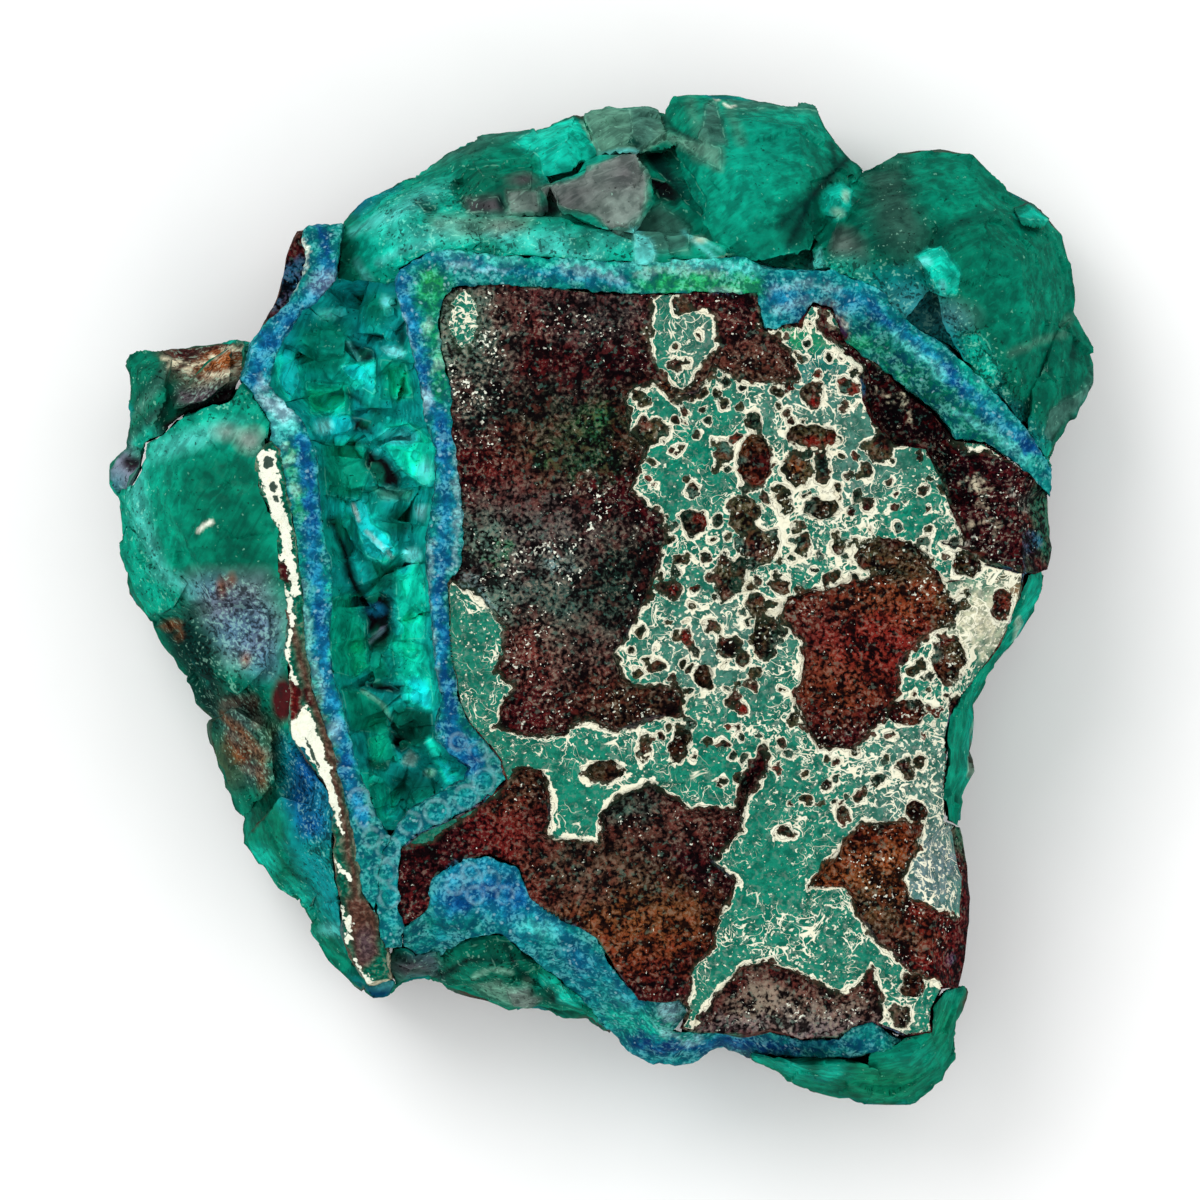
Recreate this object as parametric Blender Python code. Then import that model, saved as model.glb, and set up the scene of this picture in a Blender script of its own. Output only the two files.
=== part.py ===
"""Dioptase specimen: a hand-sized piece of brecciated host rock with blue shattuckite crusts and dioptase.

The specimen lies on its back with its flat face up. X runs to the right across the face, Y up the face and
Z out of it. The origin is in the middle of the specimen's box, on the surface that it lies on. Each mineral
that can be told apart is one closed solid, and neighbours keep a narrow gap.

Plan outlines are in millimetres. Each is a line that two neighbours share, or a stretch of the outer edge.
"""

import math
import random

import bmesh
import bpy
from mathutils import Vector, noise
from mathutils.geometry import delaunay_2d_cdt

MM = 0.001

# Driving dimensions, in millimetres.
FACE_HEIGHT = 22.0
CRUST_HEIGHT = 22.4
BLOCK_HEIGHT = 21.6
BASE_HEIGHT = 7.0
WAIST_HEIGHT = 2.6
ROOT_HEIGHT = 4.5
WAIST_SHARE = 0.93
FOOT_SHARE = 0.8
SIDE_LUMPS = 0.03
PATCH_HEIGHT = 20.7
FLANK_HEIGHT = 21.2
KNOB_HEIGHT = 16.5
GAP = 0.34
MARGIN = GAP / 2
RIM_FALL = 5.5
UNDERCUT = 2.4
WALL_LUMPS = 0.6
LUMP_SIZE = 2.8

SEED = 11

# Outer edge of the specimen, clockwise seen from above.
OUTER_TOP = [
    (-15.3, 22.9), (-14.7, 23.8), (-14.0, 24.3), (-13.0, 24.8), (-11.2, 25.6), (-9.5, 26.9),
    (-7.1, 28.1), (-4.1, 28.5), (-2.4, 29.1), (-1.6, 29.5), (-1.1, 29.3), (0.4, 29.7), (2.6, 29.9),
    (3.7, 29.5), (4.3, 30.5), (5.6, 30.6), (7.3, 30.4), (10.7, 30.2), (13.0, 29.8), (13.7, 28.6),
    (14.8, 27.2), (15.8, 25.9),
]
OUTER_RIGHT = [
    (15.8, 25.9), (16.6, 26.3), (17.9, 26.9), (20.5, 27.2), (22.3, 27.0), (24.7, 24.8), (27.2, 23.0),
    (28.0, 22.0), (28.6, 18.9), (28.7, 17.4), (29.7, 15.2), (29.9, 14.2), (29.6, 12.9), (28.0, 10.3),
    (27.4, 8.8), (27.3, 7.8),
]
OUTER_HOST_UPPER = [(27.3, 7.8), (27.1, 5.9), (27.2, 4.4), (26.9, 1.8)]
OUTER_FLANK = [
    (26.9, 1.8), (26.9, 0.6), (26.2, -0.7), (25.4, -1.9), (24.4, -3.3), (23.3, -5.0), (22.6, -6.3),
    (22.7, -7.4), (22.4, -9.1), (22.6, -10.3), (21.9, -11.9), (21.9, -13.5),
]
OUTER_HOST_LOWER = [(21.9, -13.5), (22.3, -16.0), (22.2, -19.8), (22.2, -23.3)]
OUTER_CORNER = [
    (22.2, -23.3), (21.5, -25.3), (21.1, -26.3), (21.2, -27.6), (20.7, -29.0), (19.0, -30.3),
    (17.8, -30.6), (15.9, -30.5), (14.5, -30.2), (12.9, -29.8), (11.2, -28.9), (10.6, -28.4),
    (8.6, -27.6),
]
OUTER_PATCH = [
    (8.6, -27.6), (7.4, -27.1), (6.6, -27.3), (5.7, -28.1), (4.5, -28.2), (3.2, -28.1), (1.8, -27.6),
    (0.8, -26.4),
]
OUTER_BOTTOM = [
    (0.8, -26.4), (-0.2, -25.9), (-0.8, -25.4), (-2.6, -25.0), (-3.7, -24.6), (-5.5, -24.8),
    (-7.9, -24.0), (-9.1, -23.4), (-10.3, -22.8), (-11.3, -23.0), (-12.0, -23.3),
]
OUTER_TIP = [(-12.0, -23.3), (-12.7, -24.0), (-13.7, -24.2), (-14.6, -23.6)]
OUTER_LEFT = [
    (-14.6, -23.6), (-15.3, -23.0), (-16.2, -21.7), (-17.2, -20.3), (-17.6, -19.4), (-18.4, -18.0),
    (-19.4, -17.6), (-21.0, -15.8), (-21.6, -14.7), (-21.6, -13.2), (-22.6, -11.3), (-23.5, -8.8),
    (-23.6, -7.2), (-24.5, -6.3), (-24.9, -5.2), (-25.8, -4.3), (-26.9, -1.7), (-27.6, -1.0),
    (-28.1, 0.0), (-28.9, 2.7), (-28.9, 3.9), (-29.3, 6.4),
]
OUTER_KNOB = [
    (-29.3, 6.4), (-29.8, 7.2), (-29.8, 7.9), (-29.2, 8.7), (-28.7, 9.2), (-28.4, 10.7), (-28.2, 12.1),
    (-28.6, 14.0), (-28.4, 14.8), (-27.7, 15.2), (-25.0, 15.4), (-23.3, 15.6), (-22.0, 15.8),
    (-21.0, 15.7),
]
OUTER_SLIVER = [
    (-21.0, 15.7), (-19.7, 17.9), (-19.1, 18.5), (-19.0, 19.7), (-18.6, 20.8), (-18.2, 21.5),
    (-18.0, 22.3), (-17.6, 22.7), (-15.7, 22.7), (-15.3, 22.9),
]

# Edge of the rock under everything, which most of the minerals overhang.
BASE_EDGE = [
    (-22.4, 16.4), (-21.0, 19.0), (-20.2, 21.4), (-19.4, 23.7), (-16.9, 23.9), (-14.5, 23.6),
    (-11.0, 24.4), (-7.5, 26.0), (-3.0, 27.2), (2.0, 27.8), (7.0, 28.4), (12.0, 27.8), (14.2, 25.0),
    (17.5, 24.9), (21.5, 25.0), (25.5, 21.5), (26.7, 18.0), (27.4, 14.0), (25.8, 10.0), (25.3, 4.0),
    (24.8, 0.5), (22.6, -3.6), (20.8, -7.0), (20.2, -13.0), (20.4, -19.0), (20.0, -24.0), (19.2, -27.5),
    (17.0, -28.4), (13.0, -27.6), (9.0, -25.8), (4.0, -26.0), (0.0, -23.8), (-5.0, -22.8),
    (-10.0, -21.4), (-13.6, -21.6), (-16.0, -18.0), (-19.3, -14.5), (-20.6, -10.5), (-22.2, -6.0),
    (-25.2, -1.0), (-26.8, 3.0), (-27.2, 8.0), (-26.4, 13.0), (-22.5, 13.8),
]

# Lines inside the specimen, each shared by the two pieces on its sides.
CRUST_CORNER = [
    (-21.0, 15.7), (-20.2, 16.7), (-19.0, 17.8), (-18.2, 19.1), (-17.8, 20.5), (-18.1, 21.4),
    (-18.0, 22.3), (-17.6, 22.7), (-15.7, 22.7), (-15.3, 22.9),
]
CRUST_TOP_LEFT = [(-15.3, 22.9), (-15.5, 21.3), (-15.8, 19.1)]
VUG_TOP = [(-15.8, 19.1), (-12.5, 19.0)]
VUG_LEFT = [
    (-15.8, 19.1), (-16.7, 18.0), (-17.8, 17.3), (-18.7, 15.9), (-19.4, 14.4), (-19.7, 12.9),
    (-18.7, 11.8), (-17.7, 10.8), (-16.9, 9.0), (-16.7, 6.9), (-16.6, 4.8), (-16.0, 2.4), (-15.9, 0.0),
    (-16.1, -2.4), (-15.8, -4.8), (-15.2, -6.7), (-14.6, -9.3), (-13.9, -11.4), (-13.2, -12.9),
    (-12.5, -14.3),
]
VUG_RIGHT = [
    (-12.5, 19.0), (-12.2, 17.7), (-11.7, 16.2), (-11.3, 14.5), (-10.9, 12.6), (-10.6, 10.8),
    (-10.0, 9.0), (-10.0, 7.3), (-10.2, 6.0), (-10.5, 4.2), (-10.6, 2.4), (-10.4, 0.6), (-10.2, -1.5),
    (-10.0, -4.0), (-9.6, -6.0), (-10.0, -7.3), (-10.0, -8.4), (-9.1, -9.3), (-8.0, -10.1),
    (-8.3, -10.7), (-9.8, -11.5), (-11.4, -12.4), (-12.2, -13.3), (-12.5, -14.3),
]
CRUSTS_MEET = [(-12.5, -14.3), (-13.0, -15.0), (-13.3, -16.5), (-13.4, -18.0), (-13.3, -19.1)]
TAIL_LEFT = [(-13.3, -19.1), (-13.2, -20.2), (-12.8, -21.0)]
TAIL_FOOT = [(-12.8, -21.0), (-11.8, -20.9)]
TAIL_RIGHT = [(-11.8, -20.9), (-11.8, -19.7)]
SEAM_HEAD = [(-20.0, 9.6), (-19.8, 9.7)]
SEAM_LEFT = [
    (-20.0, 9.6), (-20.6, 8.7), (-20.5, 6.9), (-19.8, 5.4), (-19.2, 4.2), (-19.3, 2.4), (-19.1, 0.6),
    (-18.7, -1.2), (-19.0, -3.0), (-18.5, -5.4), (-18.8, -7.3), (-18.6, -8.4), (-17.7, -9.6),
    (-16.4, -11.4), (-16.0, -13.2), (-16.1, -15.6), (-15.7, -18.0), (-15.6, -20.1), (-14.9, -21.9),
    (-14.0, -23.2),
]
SEAM_RIGHT = [
    (-19.8, 9.7), (-19.2, 8.7), (-18.8, 6.6), (-18.5, 5.1), (-18.2, 3.3), (-17.9, 0.6), (-17.8, -2.4),
    (-17.4, -4.8), (-16.6, -7.5), (-16.0, -9.3), (-15.5, -11.4), (-15.0, -13.8), (-14.6, -15.6),
    (-14.3, -17.4), (-13.3, -19.1),
]
SEAM_TAIL = [(-12.8, -21.0), (-12.6, -22.2), (-12.3, -23.0)]
SEAM_FOOT = [(-12.3, -23.0), (-14.0, -23.2)]
TIP_TOP = [(-12.3, -23.0), (-12.0, -23.3)]
CRUST_LEFT_EDGE = [
    (-21.0, 15.7), (-21.2, 14.4), (-21.7, 13.2), (-20.5, 12.0), (-19.8, 10.9), (-19.8, 9.7),
]
KNOB_EDGE = [
    (-29.3, 6.4), (-28.3, 6.5), (-27.6, 7.8), (-27.6, 8.7), (-27.3, 9.5), (-26.4, 10.0), (-25.1, 11.3),
    (-23.7, 11.9), (-22.3, 12.2), (-21.7, 13.2),
]
HOST_LEFT = [
    (-8.9, 18.8), (-9.4, 18.0), (-9.7, 16.8), (-9.6, 15.0), (-9.2, 13.5), (-8.9, 12.0), (-8.9, 10.2),
    (-8.6, 8.3), (-8.3, 5.9), (-8.2, 3.4), (-8.3, 2.1), (-9.1, 1.0), (-8.9, -1.5), (-8.6, -4.0),
    (-8.5, -6.0), (-7.9, -7.3), (-6.7, -8.7), (-5.9, -9.7), (-5.6, -10.9), (-7.0, -12.1),
    (-8.7, -13.0), (-10.8, -14.0), (-11.9, -14.8), (-12.1, -16.2), (-12.1, -18.3), (-11.8, -19.7),
]
HOST_TOP = [
    (-8.9, 18.8), (-6.0, 18.9), (-2.4, 18.7), (0.2, 18.5), (2.8, 18.4), (6.0, 18.5), (9.4, 18.4),
    (9.7, 16.2), (12.0, 16.5), (12.7, 17.9), (13.9, 17.5), (14.9, 15.5), (16.5, 14.3), (18.3, 12.6),
    (20.1, 11.3), (21.3, 9.7), (23.1, 9.5), (24.6, 8.5), (26.1, 7.3), (27.1, 5.9),
]
CRUST_TOP_WEST = [
    (-12.5, 19.0), (-12.1, 19.9), (-11.3, 20.5), (-9.8, 21.1), (-7.2, 20.8), (-3.3, 20.5), (0.0, 20.4),
    (3.0, 20.3), (6.0, 20.5), (8.4, 20.6), (10.5, 20.0), (13.8, 19.8),
]
CRUST_TOP_EAST = [
    (13.8, 19.8), (16.8, 18.7), (18.2, 16.9), (21.0, 15.3), (23.5, 12.9), (25.8, 10.2), (27.3, 7.8),
]
HOST_RIGHT = [
    (26.9, 1.8), (25.6, 1.4), (25.4, 0.0), (24.6, -1.9), (23.5, -3.5), (22.4, -5.2), (21.3, -6.6),
    (21.0, -8.4), (20.9, -11.4), (20.9, -13.1), (21.9, -13.5),
]
HOST_CORNER = [(22.2, -23.3), (20.7, -23.5), (20.1, -24.6), (20.0, -26.0), (18.3, -26.3)]
HOST_PATCH = [
    (18.3, -26.3), (16.3, -25.3), (15.1, -25.6), (14.3, -26.4), (12.0, -26.6), (10.2, -26.0),
    (8.4, -26.2), (6.0, -26.2), (4.6, -25.8), (5.3, -24.6), (4.8, -24.0), (2.4, -24.0), (0.7, -22.2),
    (-0.1, -20.4), (-2.4, -19.0), (-4.2, -17.8), (-4.9, -16.1), (-6.6, -15.4), (-8.7, -15.6),
    (-10.1, -16.8), (-10.5, -18.7), (-11.8, -19.7),
]
PATCH_CORNER = [(18.3, -26.3), (17.4, -27.0), (15.2, -27.3), (12.0, -27.4), (10.2, -27.2), (8.6, -27.6)]
PATCH_BOTTOM = [
    (0.8, -26.4), (0.0, -25.3), (-0.9, -24.2), (-2.3, -22.9), (-3.6, -22.1), (-5.1, -20.9),
    (-6.0, -20.1), (-7.8, -20.4), (-9.6, -21.3), (-11.1, -21.3), (-11.8, -20.9),
]

# Hollows of the face where the green skin is missing: (depth, outline). An outline may run past the face.
MAIN_HOLLOW = [
    (-9.6, 19.2), (10.2, 19.2), (9.7, 16.2), (11.4, 15.0), (12.0, 13.2), (9.6, 12.9), (6.9, 13.8),
    (6.0, 12.3), (4.3, 12.0), (3.0, 12.9), (1.8, 12.3), (1.9, 10.2), (3.0, 9.3), (2.4, 7.8),
    (1.9, 6.5), (3.9, 5.1), (4.1, 3.6), (3.3, 1.2), (2.7, -0.3), (1.1, -3.3), (1.5, -4.8),
    (5.1, -5.4), (5.1, -7.2), (3.0, -7.2), (1.2, -8.1), (-0.9, -7.2), (-2.4, -8.1), (-4.8, -8.3),
    (-6.3, -7.8), (-6.0, -6.0), (-5.1, -5.3), (-6.3, -4.2), (-5.7, -1.8), (-7.2, 0.0),
    (-9.6, 1.6), (-9.6, 12.0), (-10.4, 16.0),
]
RED_HOLLOW = [
    (11.1, 0.3), (13.8, 0.9), (16.2, 1.5), (19.2, 2.4), (21.0, 1.2), (21.0, -1.5), (19.5, -2.4),
    (18.3, -3.6), (18.0, -5.4), (16.8, -7.8), (15.0, -9.0), (12.9, -9.0), (11.4, -6.0), (12.0, -4.2),
    (12.0, -2.4), (10.5, -1.2),
]
LOWER_HOLLOW = [
    (-13.2, -15.0), (-9.6, -14.1), (-6.6, -12.0), (-4.8, -9.9), (-3.3, -10.2), (-2.9, -12.0),
    (-3.0, -14.1), (0.0, -14.4), (0.0, -12.6), (1.5, -11.4), (3.0, -10.8), (5.4, -12.3), (8.1, -12.3),
    (8.4, -10.8), (9.9, -8.4), (10.2, -10.2), (9.0, -12.0), (8.7, -14.1), (6.9, -15.5), (8.4, -16.8),
    (7.5, -18.6), (6.9, -20.7), (5.9, -22.2), (5.4, -24.0), (4.8, -24.8), (0.0, -24.0), (-6.0, -20.4),
    (-13.2, -20.4),
]
RUST_HOLLOW = [
    (12.3, -17.4), (15.0, -13.8), (15.6, -13.2), (19.5, -13.2), (19.2, -15.0), (18.3, -16.8),
    (18.9, -18.0), (21.9, -19.2), (22.8, -22.8), (20.1, -23.1), (18.3, -21.9), (16.5, -20.7),
    (15.6, -19.2), (14.7, -17.4),
]
FOOT_HOLLOW = [
    (5.4, -26.1), (7.2, -23.1), (8.7, -21.7), (10.2, -21.6), (12.6, -22.5), (14.4, -23.7), (16.2, -21.9),
    (17.1, -23.4), (17.1, -25.2), (15.6, -26.4), (12.0, -27.0), (8.4, -27.0),
]
DARK_CLEFT = [
    (12.7, 18.3), (15.0, 15.6), (16.8, 14.1), (20.4, 11.4), (21.3, 9.6), (27.6, 7.2), (27.6, 1.8),
    (24.0, 1.8), (21.9, 3.0), (21.0, 5.4), (20.4, 7.2), (19.5, 9.0), (17.7, 9.3), (16.2, 10.8),
    (15.7, 12.0), (15.6, 13.8), (14.1, 15.0), (13.2, 16.2),
]
FACE_HOLLOWS = [
    (0.8, MAIN_HOLLOW), (0.75, RED_HOLLOW), (0.9, LOWER_HOLLOW), (0.8, RUST_HOLLOW),
    (0.75, FOOT_HOLLOW), (1.6, DARK_CLEFT),
]
LEDGE_WIDTH = 0.35

# Pits of the lace-like part of the face: x, y of the middle and the two radii.
PITS = [
    (12.7, 9.6, 1.8, 1.2), (9.3, 8.3, 0.9, 1.6), (5.6, 4.7, 0.9, 0.9), (8.6, 1.4, 0.9, 1.3),
    (9.9, -1.9, 0.9, 1.5), (17.4, 2.3, 2.2, 1.4), (21.0, -3.6, 1.1, 1.3), (18.3, -6.7, 1.4, 0.9),
    (22.1, 2.1, 0.8, 0.9), (6.3, -4.5, 0.7, 0.9), (4.9, -8.8, 0.7, 1.2), (19.1, -12.9, 0.8, 0.8),
    (24.2, -0.3, 1.0, 1.1), (0.4, -10.2, 1.3, 0.7), (18.6, -23.1, 0.9, 0.9), (13.3, 5.4, 1.3, 0.8),
]
PIT_DEPTH = 0.55


def back(line):
    """The same line, run the other way."""
    return line[::-1]


def join(*lines):
    """One closed outline from lines that meet end to end."""
    points = []
    for line in lines:
        points += line[:-1] if line[0] != line[-1] else line
    return points


OUTER_EDGE = join(
    OUTER_TOP, OUTER_RIGHT, OUTER_HOST_UPPER, OUTER_FLANK, OUTER_HOST_LOWER, OUTER_CORNER, OUTER_PATCH,
    OUTER_BOTTOM, OUTER_TIP, OUTER_LEFT, OUTER_KNOB, OUTER_SLIVER,
)
FACE = join(
    HOST_TOP, OUTER_HOST_UPPER[1:], HOST_RIGHT, OUTER_HOST_LOWER, HOST_CORNER, HOST_PATCH, back(HOST_LEFT),
)
HOST_CRUST = join(
    CRUST_TOP_WEST, CRUST_TOP_EAST, OUTER_HOST_UPPER[:2], back(HOST_TOP), HOST_LEFT, back(TAIL_RIGHT),
    back(TAIL_FOOT), back(TAIL_LEFT), back(CRUSTS_MEET), back(VUG_RIGHT),
)
LEFT_CRUST = join(
    CRUST_CORNER, CRUST_TOP_LEFT, VUG_LEFT, CRUSTS_MEET, back(SEAM_RIGHT), back(CRUST_LEFT_EDGE),
)
LEFT_BLOCK = join(
    KNOB_EDGE, CRUST_LEFT_EDGE[2:], back(SEAM_HEAD), SEAM_LEFT, back(SEAM_FOOT), TIP_TOP, OUTER_TIP,
    OUTER_LEFT,
)
KNOB = join(OUTER_KNOB, CRUST_LEFT_EDGE[:3], back(KNOB_EDGE))
SEAM = join(SEAM_HEAD, SEAM_RIGHT, TAIL_LEFT, SEAM_TAIL, SEAM_FOOT, back(SEAM_LEFT))
VUG = join(VUG_TOP, VUG_RIGHT, back(VUG_LEFT))
UPPER = join(
    OUTER_TOP, OUTER_RIGHT, back(CRUST_TOP_EAST), back(CRUST_TOP_WEST), back(VUG_TOP), back(CRUST_TOP_LEFT),
)
FLANK = join(OUTER_FLANK, back(HOST_RIGHT))
PATCH = join(OUTER_PATCH, PATCH_BOTTOM, TAIL_RIGHT, back(HOST_PATCH), PATCH_CORNER)
BOTTOM = join(OUTER_BOTTOM, back(TIP_TOP), back(SEAM_TAIL), TAIL_FOOT, back(PATCH_BOTTOM))
CORNER = join(OUTER_CORNER, back(PATCH_CORNER), back(HOST_CORNER))


def is_clockwise(outline):
    ends = zip(outline, outline[1:] + outline[:1])
    return sum((bx - ax) * (by + ay) for (ax, ay), (bx, by) in ends) > 0


def inset(outline, distance):
    """The outline moved inwards by a distance, or outwards by a negative one."""
    side = -1 if is_clockwise(outline) else 1
    moved = []
    for index, point in enumerate(outline):
        here = Vector(point)
        before = (here - Vector(outline[index - 1])).normalized()
        after = (Vector(outline[(index + 1) % len(outline)]) - here).normalized()
        along = before + after
        if along.length < 0.2:
            along = after
        along.normalize()
        reach = distance / max(0.5, along.dot(after))
        moved.append((here.x - side * along.y * reach, here.y + side * along.x * reach))
    return moved


def spaced(outline, spacing):
    """The outline with points added, so that no side is much longer than the spacing."""
    points = []
    for start, end in zip(outline, outline[1:] + outline[:1]):
        start, end = Vector(start), Vector(end)
        steps = max(1, round((end - start).length / spacing))
        points += [tuple(start.lerp(end, step / steps)) for step in range(steps)]
    return points


def edge_distance(x, y, outline):
    """Distance from a point to the outline, and whether the point lies inside it."""
    nearest = math.inf
    inside = False
    for (ax, ay), (bx, by) in zip(outline, outline[1:] + outline[:1]):
        run_x, run_y = bx - ax, by - ay
        share = ((x - ax) * run_x + (y - ay) * run_y) / (run_x * run_x + run_y * run_y)
        share = min(1.0, max(0.0, share))
        nearest = min(nearest, math.hypot(x - ax - share * run_x, y - ay - share * run_y))
        if (ay > y) != (by > y) and x < ax + (y - ay) / (by - ay) * run_x:
            inside = not inside
    return nearest, inside


def ellipse(x, y, across, along, corners=7):
    """Outline of an ellipse, clockwise."""
    turns = [-2.0 * math.pi * index / corners for index in range(corners)]
    return [(x + across * math.cos(turn), y + along * math.sin(turn)) for turn in turns]


HOLLOWS = FACE_HOLLOWS + [(PIT_DEPTH, ellipse(*pit)) for pit in PITS]


def waves(x, y, z, size):
    """Smooth noise from -1 to 1, with lumps of about the size given."""
    return noise.noise(Vector((x / size, y / size, z / size)))


def rough(x, y, size=4.0):
    """Broken-rock relief: two sizes of lump, one on the other."""
    return 0.65 * waves(x, y, 3.7, size) + 0.35 * waves(x, y, 9.1, size / 2.6)


def knobs(x, y, size):
    """Rounded knobs of about the size given, from 0 between them to 1 on their tops."""
    distances, _ = noise.voronoi(Vector((x / size, y / size, 0.5)))
    return max(0.0, 1.0 - (distances[0] / 0.62) ** 2)


def outer_fall(x, y, reach=RIM_FALL):
    """1 at the specimen's outer edge, easing to 0 at the reach inside it."""
    distance, _ = edge_distance(x, y, OUTER_EDGE)
    return (1.0 - min(distance, reach) / reach) ** 1.8


def face_top(x, y):
    """The host fragment's flat face, with a ledge round each hollow and worn outer edges."""
    height = FACE_HEIGHT + 0.12 * rough(x, y)
    for depth, outline in HOLLOWS:
        distance, inside = edge_distance(x, y, outline)
        if inside:
            height -= depth * min(1.0, distance / LEDGE_WIDTH) * (1.0 + 0.35 * rough(x, y, 2.2))
    return height - 4.5 * outer_fall(x, y, 2.2)


def crust_top(outline):
    """Height of a crust that is rounded across and covered in small knobs."""
    def height(x, y):
        distance, _ = edge_distance(x, y, outline)
        rounding = 1.0 - min(distance, 0.9) / 0.9
        low_end = 2.5 * outer_fall(x, y, 3.0)
        return CRUST_HEIGHT - 0.9 * rounding ** 2 + 0.3 * knobs(x, y, 1.5) - low_end
    return height


def hills(features, x, y):
    """Sum of smooth hills and hollows, each given as (x, y, radius, height)."""
    total = 0.0
    for centre_x, centre_y, radius, height in features:
        share = math.hypot(x - centre_x, y - centre_y) / radius
        total += height * math.exp(-share * share)
    return total


BLOCK_FEATURES = [
    (-25.6, -3.0, 2.4, -4.0), (-22.5, -7.5, 2.2, -2.2), (-23.5, 3.5, 4.0, 0.5), (-26.5, 2.0, 2.0, -0.9),
    (-22.5, -1.5, 1.8, -0.8), (-20.0, -12.0, 2.2, -1.6), (-17.5, -15.5, 1.6, 0.8),
]
KNOB_FEATURES = [
    (-26.9, 12.6, 1.8, 2.0), (-23.8, 14.2, 2.2, -3.0), (-26.0, 14.2, 1.3, -1.5), (-28.6, 8.0, 1.0, -0.6),
    (-27.8, 8.6, 0.8, -1.4), (-22.6, 12.6, 1.5, 1.6),
]


def block_top(x, y):
    """Top of the left block: a low dome that falls away to the left and towards its lower tip."""
    lower_flank = max(0.0, -1.5 - y - 0.45 * (x + 22.0)) * 0.12
    fall = 10.0 * outer_fall(x, y, 5.0) + lower_flank * max(0.0, -16.5 - x)
    return BLOCK_HEIGHT + 0.5 * rough(x, y, 3.2) + hills(BLOCK_FEATURES, x, y) - fall


def knob_top(x, y):
    return KNOB_HEIGHT + 0.7 * rough(x, y, 2.4) + hills(KNOB_FEATURES, x, y) - 4.0 * outer_fall(x, y, 2.0)


def seam_top(x, y):
    return BLOCK_HEIGHT + 0.2 + 0.5 * waves(x, y, 5.0, 1.4) - 5.0 * outer_fall(x, y, 3.0)


def patch_top(x, y):
    return PATCH_HEIGHT + 0.9 * knobs(x, y, 2.6) - 8.5 * outer_fall(x, y, 5.0)


def flank_top(x, y):
    return FLANK_HEIGHT + 0.5 * rough(x, y, 1.8) - 8.0 * outer_fall(x, y, 1.8)


def bed_top(height, fall):
    """Bed under a group of crystals: lumpy, and lower towards the outer edge."""
    def level(x, y):
        return height + 0.9 * rough(x, y, 3.0) - fall * outer_fall(x, y, 7.0)
    return level


def inner_points(outline, spacing, margin):
    """Points of a slightly uneven triangular grid that lie inside the outline."""
    dice = random.Random(SEED)
    xs, ys = zip(*outline)
    row_step = spacing * math.sqrt(0.75)
    points = []
    for row in range(int((max(ys) - min(ys)) / row_step) + 2):
        for column in range(int((max(xs) - min(xs)) / spacing) + 2):
            x = min(xs) + (column + 0.5 * (row % 2)) * spacing + dice.uniform(-0.2, 0.2) * spacing
            y = min(ys) + row * row_step + dice.uniform(-0.2, 0.2) * spacing
            distance, inside = edge_distance(x, y, outline)
            if inside and distance > margin:
                points.append((x, y))
    return points


def ledge_points(outline, spacing):
    """Points along the top and the foot of each hollow's ledge, where it crosses the outline's inside."""
    points = []
    for _, hollow in HOLLOWS:
        lip = spaced(hollow, spacing)
        for x, y in lip + inset(lip, LEDGE_WIDTH):
            distance, inside = edge_distance(x, y, outline)
            if inside and distance > 0.4 * spacing:
                points.append((x, y))
    return points


def clear_of(point, others, spacing):
    return all(math.dist(point, other) > spacing for other in others)


def thin_out(points, spacing):
    """The points without those too close to an earlier one."""
    kept = []
    for point in points:
        if clear_of(point, kept, spacing):
            kept.append(point)
    return kept


def width_inwards(start, step, outline):
    """How far a line from the start, along a unit step, runs before it meets the outline again."""
    widest = 20.0
    for (ax, ay), (bx, by) in zip(outline, outline[1:] + outline[:1]):
        run_x, run_y = bx - ax, by - ay
        turn = step.x * run_y - step.y * run_x
        if abs(turn) < 1e-9:
            continue
        reach = ((ax - start[0]) * run_y - (ay - start[1]) * run_x) / turn
        share = ((ax - start[0]) * step.y - (ay - start[1]) * step.x) / turn
        if reach > 0.05 and -0.01 <= share <= 1.01:
            widest = min(widest, reach)
    return widest


def evened(ring):
    """The vectors of a ring, each averaged with its two neighbours."""
    return [(ring[index - 1] + here + ring[(index + 1) % len(ring)]) / 3.0 for index, here in enumerate(ring)]


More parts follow.
